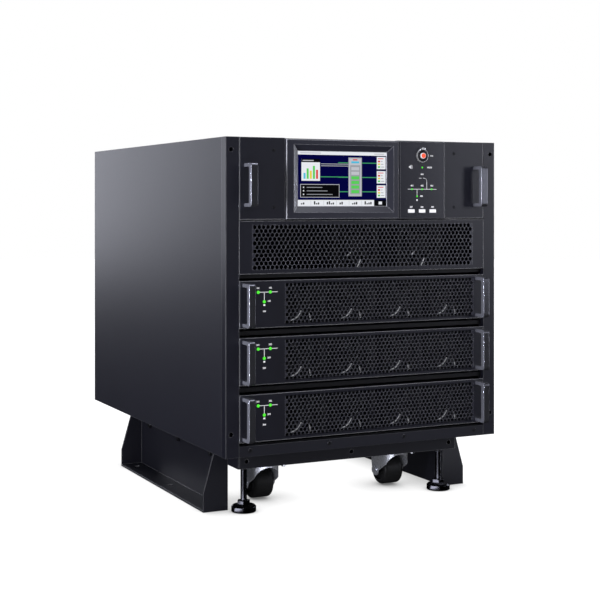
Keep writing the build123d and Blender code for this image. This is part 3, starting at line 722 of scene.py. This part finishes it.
# %% Intake grille
intake_low, intake_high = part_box("intake_grille")
intake_sheet = 1.5 * mm
intake_edge = 0.35 * mm
intake_half_field = 198.0 * mm
intake_field_height = 68.0 * mm
intake_field_rise = 6.3 * mm
hexagon_share = 1 / math.sqrt(3)
intake_holes = {"Columns": 53, "Rows": 11, "Pitch": 7.37 * mm, "Row pitch": 6.13 * mm,
                "Hole radius": 6.35 * mm * hexagon_share}
field_low = intake_low.z + intake_field_rise
intake_window = (-intake_half_field, field_low, intake_half_field,
                 field_low + intake_field_height)
intake_folds = [(intake_low.z, intake_low.z + intake_sheet),
                (intake_high.z - intake_sheet, intake_high.z)]
punched_sheet("intake_grille", "intake_sheet", "cabinet", intake_low.y, intake_sheet,
              intake_edge, intake_holes, {"intake_perforated_field": intake_window},
              (front_paint, "front_paint"), folds=intake_folds)

# %% [markdown]
# Each module's face has a plain margin on the left for its lamps, and a punched field across
# the rest. The holes are a little smaller and closer than the intake's. The three faces are
# alike, so one loop makes them, each on its own module so that it slides out with it.

# %% Module faces
module_names = ["module_1", "module_2", "module_3"]
face_sheet = 2.0 * mm
face_edge = 0.45 * mm
face_left, face_foot, face_right, face_top = 75.5 * mm, 5.6 * mm, 18.5 * mm, 6.0 * mm
face_holes = {"Columns": 50, "Rows": 11, "Pitch": 6.78 * mm, "Row pitch": 5.68 * mm,
              "Hole radius": 5.95 * mm * hexagon_share}
for module in module_names:
    low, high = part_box(module + "_face")
    window = (low.x + face_left, low.z + face_foot, high.x - face_right, high.z - face_top)
    punched_sheet(module + "_face", module + "_sheet", module, low.y, face_sheet, face_edge,
                  face_holes, {module + "_perforated_field": window},
                  (front_paint, "front_paint"))

# %% [markdown]
# The back of such a cabinet lets the modules' air out through the same kind of punched sheet,
# one field behind each module, with an opening over the cable terminals above them. It is set
# back a little between the side panels, which leaves room for its screw heads.

# %% Rear panel
rear_low, rear_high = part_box("rear_panel")
cover_low, cover_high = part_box("terminal_cover")
rear_set_in = 0.8 * mm
rear_sheet = 1.5 * mm
rear_edge = 0.3 * mm
rear_field_margin = 65.8 * mm
rear_field_end = 9.8 * mm
rear_holes = {"Columns": 51, "Rows": 9, "Pitch": 6.7 * mm, "Row pitch": 5.6 * mm,
              "Hole radius": 4.8 * mm * hexagon_share}
rear_fields = {}
for place, module in enumerate(module_names, start=1):
    low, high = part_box(module + "_face")
    rear_fields["rear_perforated_field_%d" % place] = (
        rear_low.x + rear_field_margin, low.z + rear_field_end,
        rear_high.x - rear_field_margin, high.z - rear_field_end)
punched_sheet("rear_panel", "rear_sheet", "cabinet", rear_high.y - rear_sheet - rear_set_in,
              rear_sheet, rear_edge, rear_holes, rear_fields, (housing_paint, "housing_paint"),
              openings=[(cover_low.x, cover_low.z, cover_high.x, cover_high.z)])

# %% [markdown]
# Screws and bolts are turned parts, so each head is made as a lathe makes it: a profile of
# radius against height, carried round the axis. Where a ring is six-sided, its radius is
# changed with the angle, which gives hexagon heads and hexagon sockets from the same helper.

# %% Turned parts
def turned(name, rings, segments=24):
    """A closed turned shape along +Z; a ring is a radius, a height and whether it is a hexagon."""
    shape = bmesh.new()
    loops = []
    for radius, height, hexagon in rings:
        loop = []
        for step in range(segments):
            angle = math.tau * step / segments
            reach = radius
            if hexagon:
                within = angle % (math.pi / 3) - math.pi / 6
                reach = radius / math.cos(within)
            loop.append(shape.verts.new((reach * math.cos(angle), reach * math.sin(angle),
                                         height)))
        loops.append(loop)
    for lower, upper in zip(loops, loops[1:]):
        for step in range(segments):
            after = (step + 1) % segments
            shape.faces.new([lower[step], lower[after], upper[after], upper[step]])
    shape.faces.new(list(reversed(loops[0])))
    shape.faces.new(loops[-1])
    bmesh.ops.recalc_face_normals(shape, faces=list(shape.faces))
    return mesh_from(shape, name)


head_rings = {
    "socket_screw": [(2.6, -0.4, False), (2.6, 0.2, False), (2.3, 0.6, False),
                     (1.5, 0.8, False), (1.05, 0.8, True), (1.0, 0.1, True)],
    "strip_screw": [(3.4, -0.4, False), (3.4, 0.4, False), (2.9, 1.0, False),
                    (1.9, 1.3, False), (1.3, 1.3, True), (1.2, 0.4, True)],
    "hex_bolt": [(6.2, -0.4, False), (6.2, 1.0, False), (5.0, 1.0, True),
                 (5.0, 3.9, True), (4.4, 4.6, False), (1.0, 4.6, False)],
    "beam_bolt": [(4.4, -0.4, False), (4.4, 0.6, False), (3.5, 0.6, True),
                  (3.5, 2.6, True), (3.0, 3.0, False), (0.8, 3.0, False)],
    "button_bolt": [(4.6, -0.4, False), (4.6, 0.5, False), (3.9, 1.6, False),
                    (2.4, 2.2, False), (1.7, 2.2, True), (1.6, 0.8, True)],
}
head_meshes = {name: turned(name, [(radius * mm, height * mm, hexagon)
                                   for radius, height, hexagon in rings])
               for name, rings in head_rings.items()}
print("screw head polygons:", len(head_meshes["socket_screw"].polygons))

# %% [markdown]
# A screw ends its turn at any angle, and a row of heads that all point the same way looks
# drawn. The tree below puts one head on every point of a set and turns each by a random angle
# from a fixed seed. A set lies in a flat sheet of points first and is then stood against its
# panel, so the tree needs no knowledge of which way the panel faces.

# %% Fastener tree
fastener_inputs = [("Head", "Object"), ("Seed", "Int"), ("Metal", "Material")]
fasteners, given, made = start_tree("fastener_set", fastener_inputs)
head_shape = add_node(fasteners, "GeometryNodeObjectInfo", {"Object": given["Head"]})
any_turn = add_node(fasteners, "FunctionNodeRandomValue", {
    "Max": math.tau, "Seed": given["Seed"]}, data_type="FLOAT")
about_axis = add_node(fasteners, "ShaderNodeCombineXYZ", {"Z": any_turn})
placed = add_node(fasteners, "GeometryNodeInstanceOnPoints", {
    "Points": given["Geometry"], "Instance": head_shape.outputs["Geometry"],
    "Rotation": about_axis})
close_tree(fasteners, placed, given["Metal"], made)
print("fastener tree:", len(fasteners.nodes), "nodes")


def fastener_set(shape, head_mesh, points, way, metal, seed):
    """Add heads to a shape at points in space, all facing one way."""
    turn = facing[way]
    flat = [turn.transposed() @ Vector(point) for point in points]
    head = bpy.data.objects.new("head", head_mesh)
    scene.collection.objects.link(head)
    heads = run_tree(fasteners, points_mesh(flat, "fastener_points"),
                     {"Head": head, "Seed": seed, "Metal": metal}, "fasteners")
    bpy.data.objects.remove(head)
    heads.transform(turn.to_4x4())
    shape.from_mesh(heads)
    bpy.data.meshes.remove(heads)


# %% [markdown]
# Small black screws hold the front sheets, larger ones the strip below the modules. The base
# is bolted: three bolts through each floor bracket's web, and plated bolts under the beams and
# in the casters' plates, which catch the light from the floor. Their places are in millimetres
# from the part's middle and above the floor.

# %% Screws and bolts on the cabinet
fascia_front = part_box("fascia_panels")[0].y
strip_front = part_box("lower_front_strip")[0].y
rails_low, rails_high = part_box("base_side_rails")
beams_low, beams_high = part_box("base_beams")
stabiliser_low, stabiliser_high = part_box("left_stabiliser")
plates_low, plates_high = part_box("caster_plates")
web_sheet = 3.0 * mm
beam_bolt_inset = 7 * mm
cover_screw_gap = 7 * mm
fascia_screws_x, fascia_screws_z = (-162, 162), (476, 563)
strip_screws_x, strip_screws_z = (-201, -67, 67, 201), 110
web_bolts_y, web_bolts_z = (-159, -15, 129), 80
beam_bolts_x = (-118, 118)
rear_screws_x, rear_screws_z = (-229, 229), (116, 229, 342, 455, 568)
cover_screws_x = (-140, 0, 140)

fascia_points = [(x * mm, fascia_front, z * mm) for x in fascia_screws_x
                 for z in fascia_screws_z]
strip_points = [(x * mm, strip_front, strip_screws_z * mm) for x in strip_screws_x]
left_web = [(rails_low.x - web_sheet, y * mm, web_bolts_z * mm) for y in web_bolts_y]
right_web = [(rails_high.x + web_sheet, y * mm, web_bolts_z * mm) for y in web_bolts_y]
beam_ends = (beams_low.y + beam_bolt_inset, beams_high.y - beam_bolt_inset)
beam_points = [(x * mm, y, beams_low.z) for x in beam_bolts_x for y in beam_ends]
rear_face = rear_high.y - rear_set_in
rear_points = [(x * mm, rear_face, z * mm) for x in rear_screws_x for z in rear_screws_z]
cover_rows_z = (cover_low.z - cover_screw_gap, cover_high.z + cover_screw_gap)
cover_points = [(x * mm, rear_face, z) for x in cover_screws_x for z in cover_rows_z]

caster_half_plate = 30 * mm
corner_inset = 6.5 * mm
plate_bolt_drop = 2.5 * mm
plate_x = plates_high.x - caster_half_plate
plate_y = (plates_low.y + caster_half_plate, plates_high.y - caster_half_plate)
reach = caster_half_plate - corner_inset
caster_points = [(x + step_x * reach, y + step_y * reach, beams_low.z - plate_bolt_drop)
                 for y in plate_y for x in (-plate_x, plate_x)
                 for step_x in (-1, 1) for step_y in (-1, 1)]
black_sets = [
    ("socket_screw", fascia_points, "front"), ("strip_screw", strip_points, "front"),
    ("hex_bolt", left_web, "left"), ("hex_bolt", right_web, "right"),
    ("socket_screw", rear_points + cover_points, "back"),
]
bright_sets = [("beam_bolt", beam_points, "under"), ("button_bolt", caster_points, "under")]
seed = 0
for name, sets, metal, slot in (("black_screws", black_sets, black_oxide, "base_paint"),
                                ("plated_bolts", bright_sets, bright_steel, "galvanised")):
    shape = bmesh.new()
    for head, points, way in sets:
        seed += 1
        fastener_set(shape, head_meshes[head], points, way, metal, seed)
    new_piece(name, shape, "cabinet", metal)
for mesh in head_meshes.values():
    bpy.data.meshes.remove(mesh)
print("caster bolts:", len(caster_points))

# %% [markdown]
# Behind the punched sheets stand fans, and each has a guard of black wire rings. Two bright
# struts below the hub show through the holes as short broken glints, and those glints are what
# tells the eye that there is depth behind the sheet. The struts' pale, nearly matt colour is a
# painted glint. The guard's tree bends circles of wire, crosses them with spokes, and sets one
# guard on each fan's point. The struts are bent wires, drawn as lines of points that a second
# tree gives a round section.

# %% Fan guard tree
guard_inputs = [
    ("Radius", "Float"), ("Rings", "Int"), ("Spokes", "Int"), ("Wire", "Float"),
    ("Metal", "Material"),
]
guards, given, made = start_tree("fan_guard", guard_inputs)
ring_sides = 40
wire_sides = 6
ring_points = add_node(guards, "GeometryNodePoints", {"Count": given["Rings"]})
ring_number = add_node(guards, "GeometryNodeInputIndex")
ring_size = calc(guards, "DIVIDE", calc(guards, "ADD", ring_number, 1),
                 given["Rings"])
unit_ring = add_node(guards, "GeometryNodeCurvePrimitiveCircle", {
    "Resolution": ring_sides, "Radius": given["Radius"]})
rings = add_node(guards, "GeometryNodeInstanceOnPoints", {
    "Points": ring_points, "Instance": unit_ring,
    "Scale": ring_size})
spoke_points = add_node(guards, "GeometryNodePoints", {"Count": given["Spokes"]})
spoke_number = add_node(guards, "GeometryNodeInputIndex")
halfway = calc(guards, "ADD", spoke_number, 0.5)
spoke_turn = add_node(guards, "ShaderNodeCombineXYZ", {
    "Z": calc(guards, "DIVIDE", calc(guards, "MULTIPLY", halfway, math.tau),
              given["Spokes"])})
spoke_end = add_node(guards, "ShaderNodeCombineXYZ", {"X": given["Radius"]})
spoke = add_node(guards, "GeometryNodeCurvePrimitiveLine", {
    "End": spoke_end})
spokes = add_node(guards, "GeometryNodeInstanceOnPoints", {
    "Points": spoke_points, "Instance": spoke,
    "Rotation": spoke_turn})
real_wires = add_node(guards, "GeometryNodeRealizeInstances", {
    "Geometry": join(guards, rings, spokes)})
on_fans = add_node(guards, "GeometryNodeInstanceOnPoints", {
    "Points": given["Geometry"],
    "Instance": swept(guards, real_wires, wire_sides, given["Wire"])})
close_tree(guards, on_fans, given["Metal"], made)
print("fan guard tree:", len(guards.nodes), "nodes")

# %% [markdown]
# A strut is a stiff wire bent by hand, so no two corners are quite alike. It is drawn as a
# line of points, and a short tree turns any such line into round wire.

# %% Bent wire tree
bent_wire, given, made = start_tree("bent_wire", [("Wire", "Float"), ("Metal", "Material")])
wire_path = add_node(bent_wire, "GeometryNodeMeshToCurve", {"Mesh": given["Geometry"]})
close_tree(bent_wire, swept(bent_wire, wire_path, wire_sides, given["Wire"]),
           given["Metal"], made)


def lines_mesh(paths, name):
    """A mesh of open lines of points."""
    points, edges = [], []
    for path in paths:
        start = len(points)
        points += [tuple(point) for point in path]
        edges += [(start + place, start + place + 1) for place in range(len(path) - 1)]
    mesh = bpy.data.meshes.new(name)
    mesh.from_pydata(points, edges, [])
    return mesh


print("bent wire tree:", len(bent_wire.nodes), "nodes")

# %% [markdown]
# A real guard stands just clear of its fan, and the struts run close behind the sheet. Their
# bends are given in millimetres from each fan's middle. The guards are measured from the fans
# in the part, and ride on the same body as the fans do.

# %% Fan guards
intake_struts = [
    [(-18, -10), (-21, -13), (-24, -16)],
    [(0, -21), (-1.5, -25), (-3.5, -29), (-5.5, -33)],
]
module_struts = [
    [(-10, -12), (-13, -17), (-17, -21.5), (-22, -24.5), (-28, -26)],
    [(3, -16), (4.6, -20), (5.6, -24), (6, -27)],
]
strut_wire = 1.0 * mm
guard_wire = 0.9 * mm
guard_share = 0.42
guard_spokes = 4


def add_guards(node, body, count, ring_count, sheet_back, struts):
    """Guards in front of a row of square fans, with struts close behind the punched sheet."""
    low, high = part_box(node)
    side = high.z - low.z
    first = low.x + side / 2
    step = (high.x - low.x - side) / (count - 1)
    spots = [(first + step * place, (low.z + high.z) / 2, 0) for place in range(count)]
    mesh = run_tree(guards, points_mesh(spots, "fan_points"),
                    {"Radius": side * guard_share, "Rings": ring_count, "Spokes": guard_spokes,
                     "Wire": guard_wire, "Metal": wire_steel}, node + "_guards")
    stand(mesh, (0, low.y - guard_wire, 0))
    new_piece(node + "_guards", mesh, body, wire_steel)
    paths = [[(x + along * mm, z + up * mm, 0) for along, up in path]
             for x, z, _ in spots for path in struts]
    mesh = run_tree(bent_wire, lines_mesh(paths, "strut_lines"),
                    {"Wire": strut_wire, "Metal": strut_glint_paint}, node + "_struts")
    stand(mesh, (0, sheet_back + 2 * strut_wire, 0))
    new_piece(node + "_struts", mesh, body, strut_glint_paint)


add_guards("intake_fans", "cabinet", count=2, ring_count=4,
           sheet_back=intake_low.y + intake_sheet, struts=intake_struts)
for module in module_names:
    face_low, face_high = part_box(module + "_face")
    fans_low, fans_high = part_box(module + "_fans")
    add_guards(module + "_fans", module, count=4, ring_count=3,
               sheet_back=face_low.y + face_sheet, struts=module_struts)
    print(module, "room before the fans in mm:", round((fans_low.y - face_high.y) / mm, 1),
          "side:", round((fans_high.z - fans_low.z) / mm, 1))

# %% [markdown]
# Ink on a panel is a film far thinner than paper. A film that thin would flicker against the
# paint in a render, so each mark is a plate a tenth of a millimetre thick, sunk a little into
# the panel. Lines and bars are boxes, bent lines are short boxes end to end, and the captions
# are plain numbers, set from a font's outlines and turned into a mesh.

# %% Ink helpers
ink = 0.12 * mm
ink_sink = 0.05 * mm
boldness = 0.025
digit_share = 0.72
arc_steps = 6


def from_corner(corner, *places):
    """Places in metres, from millimetres to the right of a corner and above it."""
    return [(corner[0] + x * mm, corner[1] + z * mm) for x, z in places]


def arc(middle_x, middle_z, radius, first, last):
    """Places along an arc between two angles in degrees."""
    angles = [math.radians(first + (last - first) * step / arc_steps)
              for step in range(arc_steps + 1)]
    return [(middle_x + radius * math.cos(angle), middle_z + radius * math.sin(angle))
            for angle in angles]


def ink_bar(shape, corners, front):
    """A printed bar between two corners, on a panel whose surface is at y = front."""
    (x0, z0), (x1, z1) = corners
    add_box(shape, (x0, front - ink, z0), (x1, front + ink_sink, z1))


def ink_line(shape, points, width, front):
    """A printed line through points given as x and z."""
    for (x0, z0), (x1, z1) in zip(points, points[1:]):
        along = Vector((x1 - x0, z1 - z0))
        length = along.length + width
        middle = ((x0 + x1) / 2, front - (ink - ink_sink) / 2, (z0 + z1) / 2)
        turn = Matrix.Rotation(-math.atan2(along.y, along.x), 4, "Y")
        size = Matrix.Diagonal((length, ink + ink_sink, width, 1))
        bmesh.ops.create_cube(shape, size=1.0,
                              matrix=Matrix.Translation(middle) @ turn @ size)


def ink_number(shape, text, height, place, front):
    """A printed number, centred at a place."""
    lettering = bpy.data.curves.new("number", "FONT")
    lettering.body = text
    lettering.size = height / digit_share
    lettering.align_x = "CENTER"
    lettering.align_y = "CENTER"
    lettering.resolution_u = 2
    lettering.offset = boldness * lettering.size
    lettering.extrude = ink / 2
    carrier = bpy.data.objects.new("number", lettering)
    scene.collection.objects.link(carrier)
    depsgraph = bpy.context.evaluated_depsgraph_get()
    mesh = bpy.data.meshes.new_from_object(carrier.evaluated_get(depsgraph))
    bpy.data.objects.remove(carrier)
    stand(mesh, (place[0], front - ink / 2, place[1]))
    shape.from_mesh(mesh)
    bpy.data.meshes.remove(mesh)


lens_profile = [(1.0, -0.3), (1.0, 0.25), (0.85, 0.6), (0.5, 0.85), (0.1, 0.95)]
lens_segments = 16


def lamp(shape, radius, place, front):
    """A domed lamp lens that stands in a panel."""
    rings = [(radius * share, height * mm, False) for share, height in lens_profile]
    lens = turned("lens", rings, lens_segments)
    stand(lens, (place[0], front, place[1]))
    shape.from_mesh(lens)
    bpy.data.meshes.remove(lens)


print("ink is", ink / mm, "mm proud, lamps", lens_profile[-1][1], "mm")

# %% [markdown]
# Every power module shows its own state at the left of its face: two lamps in a row joined by
# a white line, a third lamp below them on a branch, and a white dot for its switch.

# %% Module lamps and marks
lamp_radius = 2.5 * mm
line_width = 0.8 * mm
caption_height = 2.6 * mm
lamp_places = [(30.6, 54.2), (50.7, 54.2), (40.6, 39.7)]
mark_lines = [[(30.6, 54.2), (62.5, 54.2)], [(40.6, 54.2), (40.6, 39.7)]]
switch_dot = [(39.0, 33.4), (42.2, 35.8)]
caption_places = [(30.2, 60.4), (50.7, 60.4), (48.6, 40.4), (40.6, 25.0)]
for number, module in enumerate(module_names, start=1):
    face_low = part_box(module + "_face")[0]
    corner, front = (face_low.x, face_low.z), face_low.y
    lens_shape, mark_shape = bmesh.new(), bmesh.new()
    for place in from_corner(corner, *lamp_places):
        lamp(lens_shape, lamp_radius, place, front)
    for line in mark_lines:
        ink_line(mark_shape, from_corner(corner, *line), line_width, front)
    ink_bar(mark_shape, from_corner(corner, *switch_dot), front)
    for step, place in enumerate(from_corner(corner, *caption_places), start=1):
        ink_number(mark_shape, str(100 * number + step), caption_height, place, front)
    new_piece(module + "_lamps", lens_shape, module, green_lamp)
    marks = new_piece(module + "_marks", mark_shape, module, white_ink)
    print(module, "mark polygons:", len(marks.data.polygons))

# %% [markdown]
# The control plate carries a small flow diagram: a bypass line that bends down into the main
# line, lamps where each stage sits, a branch to the battery lamp, and a caption by each lamp
# and key. A sounder sits behind a small hole at the left.

# %% Control plate print
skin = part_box("control_plate")[0].y
housing_foot = (0.0, 100.0 * mm)
plate_line, sounder_line, sounder_edge = 0.7 * mm, 0.6 * mm, 1.2 * mm
plate_lines = [
    (plate_line, [(73.2, 404.5), (126.2, 404.5)]),
    (plate_line, [(89.9, 404.5), (89.9, 393.1)]),
    (plate_line, [(94.0, 422.2), *arc(103.2, 417.2, 5.0, 90, 0), (108.2, 404.5)]),
    (sounder_line, arc(77.0, 440.0, 3.0, -45, 45)),
    (sounder_line, arc(77.0, 440.0, 4.4, -45, 45)),
    (sounder_edge, [(78.0, 437.8), (78.0, 442.2)]),
]
plate_bars = [[(88.7, 385.8), (91.1, 388.2)], [(75.0, 438.8), (77.2, 441.2)]]
captions = {
    "401": (80.6, 410.1), "402": (99.4, 410.1), "403": (117.6, 410.1), "404": (99.4, 428.4),
    "40500": (113.4, 439.4), "406": (98.2, 393.3), "407": (79.0, 375.8), "408": (99.1, 375.8),
    "409": (119.1, 375.8), "410": (117.4, 458.2),
}
lit_lamps = [(1.4, 80.6, 404.5), (1.4, 99.7, 404.5), (1.4, 117.4, 404.5), (1.4, 89.9, 393.1),
             (1.4, 99.7, 439.4)]
unlit_lamps = [(1.5, 99.7, 422.2), (1.9, 77.2, 447.0)]

mark_shape = bmesh.new()
for width, places in plate_lines:
    ink_line(mark_shape, from_corner(housing_foot, *places), width, skin)
for corners in plate_bars:
    ink_bar(mark_shape, from_corner(housing_foot, *corners), skin)
for text, place in captions.items():
    ink_number(mark_shape, text, caption_height, *from_corner(housing_foot, place), skin)
plate_marks = new_piece("control_plate_marks", mark_shape, "cabinet", white_ink)
for name, lamps, material, slot in (
        ("control_plate_lamps", lit_lamps, green_lamp, "key_white"),
        ("control_plate_dark_lamps", unlit_lamps, dark_lamp, "bezel_plastic")):
    shape = bmesh.new()
    for radius, *place in lamps:
        lamp(shape, radius * mm, *from_corner(housing_foot, place), skin)
    new_piece(name, shape, "cabinet", material)
print("control plate mark polygons:", len(plate_marks.data.polygons))

# %% [markdown]
# The screen shows a running overview. Its picture is built from plain rectangles in layers a
# tenth of a millimetre apart, like coloured paper: a status bar, cards with small bars, a
# battery gauge, flow lines, a list and a menu bar. None of it copies a real interface.

# %% Screen picture
glass_low, glass_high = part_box("display_screen")
screen_lip = 4.0 * mm
window_left = glass_low.x + screen_lip
window_low = glass_low.z + screen_lip
window_width = glass_high.x - glass_low.x - 2 * screen_lip
window_height = glass_high.z - glass_low.z - 2 * screen_lip
layer_step = 0.1 * mm
picture = []


def patch(colour, x0, z0, x1, z1, layer):
    """Note a rectangle of the picture, in millimetres from the window's lower left."""
    picture.append((colour, x0, z0, x1, z1, layer))


wide, tall = window_width / mm, window_height / mm
patch("white", 0, tall - 5.2, wide, tall, 1)
patch("pale", 4, tall - 3.4, 40, tall - 1.8, 2)
patch("pale", wide - 22, tall - 3.4, wide - 4, tall - 1.8, 2)
patch("white", 0, 0, wide, 9.4, 1)
tile = wide / 7
for place in range(7):
    left = place * tile
    if place == 6:
        patch("black", left, 0, wide, 9.4, 2)
        patch("white", left + tile / 2 - 3, 2.4, left + tile / 2 + 3, 7.0, 3)
        continue
    patch("pale", left + tile - 0.5, 1, left + tile, 8.4, 2)
    for bar in range(place % 3 + 2):
        start = left + tile / 2 - 6 + bar * 3.4
        patch("black", start, 2.4, start + 2.3, 4.4 + (bar * 5 + place * 3) % 4, 2)
for place in range(3):
    low = 13.0 + place * 22.6
    patch("white", wide - 17.5, low, wide - 1.5, low + 19.6, 2)
    patch("red", wide - 15.5, low + 16.0, wide - 5.5, low + 17.2, 3)
    for row, colour in enumerate(("lime", "yellow", "red")):
        z = low + 2.2 + row * 4.4
        patch(colour, wide - 15.5, z, wide - 11.5, z + 2.6, 3)
        patch("grey", wide - 10.0, z + 0.8, wide - 4.0 - row * 1.5, z + 1.8, 3)
    patch("green", 70.0, low + 8.6, wide - 17.5, low + 10.0, 1)
patch("grey", 88.0, 15.0, 112.0, 76.0, 2)
patch("pale", 89.2, 16.2, 110.8, 74.8, 3)
patch("grey", 91.0, 18.0, 109.0, 64.0, 4)
for place in range(6):
    z = 20.0 + place * 7.2
    patch("lime" if place < 4 else "pale", 93.0, z, 107.0, z + 5.0, 5)
patch("cyan", 93.0, 67.0, 107.0, 70.0, 4)
patch("red", 96.0, 71.5, 104.0, 73.4, 4)
patch("pale", 40.0, 62.0, 88.0, 62.8, 1)
patch("pale", 40.0, 65.0, 88.0, 65.8, 1)
patch("green", 38.0, 44.6, 88.0, 46.0, 1)
patch("white", 6.0, 39.0, 38.0, 73.0, 2)
patch("black", 6.0, 67.6, 38.0, 73.0, 3)
patch("pale", 8.0, 69.6, 27.0, 71.0, 4)
for place, height in enumerate((9.0, 16.0, 12.5, 20.0, 14.0)):
    colour = ("cyan", "lime", "yellow", "lime", "red")[place]
    patch(colour, 9.5 + place * 5.4, 42.0, 13.0 + place * 5.4, 42.0 + height, 3)
patch("pale", 4.0, 13.2, 72.0, 33.8, 2)
patch("black", 4.8, 14.0, 71.2, 33.0, 3)
for place in range(3):
    z = 17.0 + place * 5.4
    patch("white", 8.5, z, 10.5, z + 2.0, 4)
    patch("grey", 15.0, z + 0.5, 60.0 - place * 9.0, z + 1.5, 4)

for colour in screen_colours:
    chosen = [entry for entry in picture if entry[0] == colour]
    if not chosen:
        continue
    shape = bmesh.new()
    for _, x0, z0, x1, z1, layer in chosen:
        front = glass_low.y - layer * layer_step
        add_box(shape, (window_left + x0 * mm, front, window_low + z0 * mm),
                (window_left + x1 * mm, front + layer_step, window_low + z1 * mm))
    new_piece("screen_picture_" + colour, shape, "cabinet", screen_colours[colour])
print("screen rectangles:", len(picture), "window in mm:", round(wide, 1), round(tall, 1))

# %% [markdown]
# Each levelling foot is adjusted by its threaded stud. A thread is one ridge wound round a
# core, so a spiral curve swept with a four-sided section makes it, and the pad below gets
# nothing more. The ridge is a mesh of its own for each foot, because the feet move apart.

# %% Thread tree
thread_inputs = [
    ("Radius", "Float"), ("Height", "Float"), ("Turns", "Float"), ("Ridge", "Float"),
    ("Metal", "Material"),
]
thread, given, made = start_tree("foot_thread", thread_inputs)
steps_a_turn = 14
ridge_sides = 4
spiral = add_node(thread, "GeometryNodeCurveSpiral", {
    "Resolution": steps_a_turn, "Rotations": given["Turns"], "Start Radius": given["Radius"],
    "End Radius": given["Radius"], "Height": given["Height"]})
close_tree(thread, swept(thread, spiral, ridge_sides, given["Ridge"]),
           given["Metal"], made)
print("thread tree:", len(thread.nodes), "nodes")

# %% [markdown]
# The thread starts above the nut on the pad and ends at the stud's top, inside the base. Its
# pitch is that of a common coarse 10 mm thread, and each ridge rides on its own foot.

# %% Threads on the feet
stud_radius = 5.0 * mm
thread_start = 18.0 * mm
thread_pitch = 1.5 * mm
thread_ridge = 0.33 * mm
for name in shown_nodes:
    if not name.startswith("foot_"):
        continue
    foot_low, foot_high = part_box(name)
    height = foot_high.z - foot_low.z - thread_start - thread_pitch
    mesh = run_tree(thread, points_mesh([(0, 0, 0)], "thread_base"),
                    {"Radius": stud_radius, "Height": height,
                     "Turns": height / thread_pitch, "Ridge": thread_ridge,
                     "Metal": foot_steel}, name + "_thread")
    middle = (foot_low + foot_high) / 2
    mesh.transform(Matrix.Translation((middle.x, middle.y, foot_low.z + thread_start)))
    new_piece(name + "_thread", mesh, name, foot_steel)
print("thread turns:", round(height / thread_pitch, 1))

# %% [markdown]
# A photographer lights small bright parts on their own, with cards too narrow to reach the
# rest. Light linking does the same: a card serves only the pieces in its collection. Metal
# near the ground mirrors the ground just in front of it, and the floor is kept out of
# reflections for the paint's sake, so cards lie on it for the forks, bolts, feet and the
# right bracket. The handles get a strong card from the left, which draws the bright line
# down each rounded corner, and weaker ones from the right and above. The display frame has
# its own card from the left. Small white patches keep the floor bright where it is seen
# through the bracket's bolt holes.

# %% Cards for small parts and floor patches
def card(name, place, size, radiance, words, target=None):
    """A softbox that lights only pieces with one of the words in their names."""
    chosen = bpy.data.collections.new(name + "_pieces")
    for piece in list(bpy.data.objects):
        if piece.type == "MESH" and any(word in piece.name for word in words):
            chosen.objects.link(piece)
    straight_up = Vector(place) + Vector((0, 0, 1))
    light = softbox(name, place, size, radiance, target or straight_up)
    light.light_linking.receiver_collection = chosen
    return len(chosen.objects)


bare_metal = ("caster_fork", "plated_bolts")
handles_middle = Vector((0.0, -0.34, 0.40))
display_middle = Vector((0.0, -0.34, 0.50))
casters_middle = Vector((0.0, -0.20, 0.05))
feet_middle = Vector((0.0, -0.28, 0.02))
card_height = 0.6 * mm
lit_counts = [card(*values) for values in (
    ("fork_floor_card", (-0.26, -0.72, card_height), (0.55, 0.55), 6.5, bare_metal),
    ("low_left_card", (-1.60, -1.90, 0.35), (0.40, 0.50), 28.0, bare_metal, casters_middle),
    ("bracket_floor_card", (0.34, -0.62, card_height), (0.50, 0.50), 0.8,
     ("right_stabiliser",)),
    ("foot_top_card", (-0.60, -1.05, 1.50), (0.50, 0.50), 24.0, ("foot_",), feet_middle),
    ("handle_left_card", (-2.40, -0.40, 0.40), (0.30, 1.20), 820.0, ("handles",),
     handles_middle),
    ("handle_right_card", (2.40, -0.90, 0.40), (0.40, 1.20), 10.0, ("handles",),
     handles_middle),
    ("handle_top_card", (0.0, -0.42, 2.20), (0.90, 0.15), 60.0, ("handles",), handles_middle),
    ("bezel_left_card", (-2.20, -0.90, 0.50), (0.25, 1.00), 90.0, ("display_bezel",),
     display_middle),
)]
foot_cards = (("stud", Vector((-0.27, -0.13, 0)), (0.13, 0.13), 4.0),
              ("pad", Vector((-0.070, -0.038, 0)), (0.08, 0.08), 8.0))
for name in ("foot_front_left", "foot_front_right"):
    low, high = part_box(name)
    centre = Vector(((low.x + high.x) / 2, (low.y + high.y) / 2, card_height))
    for part, reach, size, radiance in foot_cards:
        lit_counts.append(card(name + "_" + part + "_card", centre + reach, size, radiance,
                               (name,)))
print("pieces lit by each card:", lit_counts)

hole_inset = 20.0 * mm
hole_end = 30.0 * mm
patch_radius = 4.8 * mm
patch_height = 0.3 * mm
patch_glow = 1.2
patch_shape = bmesh.new()
for outer in (stabiliser_low.x + hole_inset, -stabiliser_low.x - hole_inset):
    for y in (stabiliser_low.y + hole_end, (stabiliser_low.y + stabiliser_high.y) / 2,
              stabiliser_high.y - hole_end):
        bmesh.ops.create_circle(patch_shape, cap_ends=True, segments=16, radius=patch_radius,
                                matrix=Matrix.Translation((outer, y, patch_height)))
patches = bpy.data.objects.new("floor_patches", mesh_from(patch_shape, "floor_patches"))
scene.collection.objects.link(patches)
give_finish(patches, lit("patch_white", (1.0, 1.0, 1.0), patch_glow))
print("floor patches:", len(patches.data.polygons))
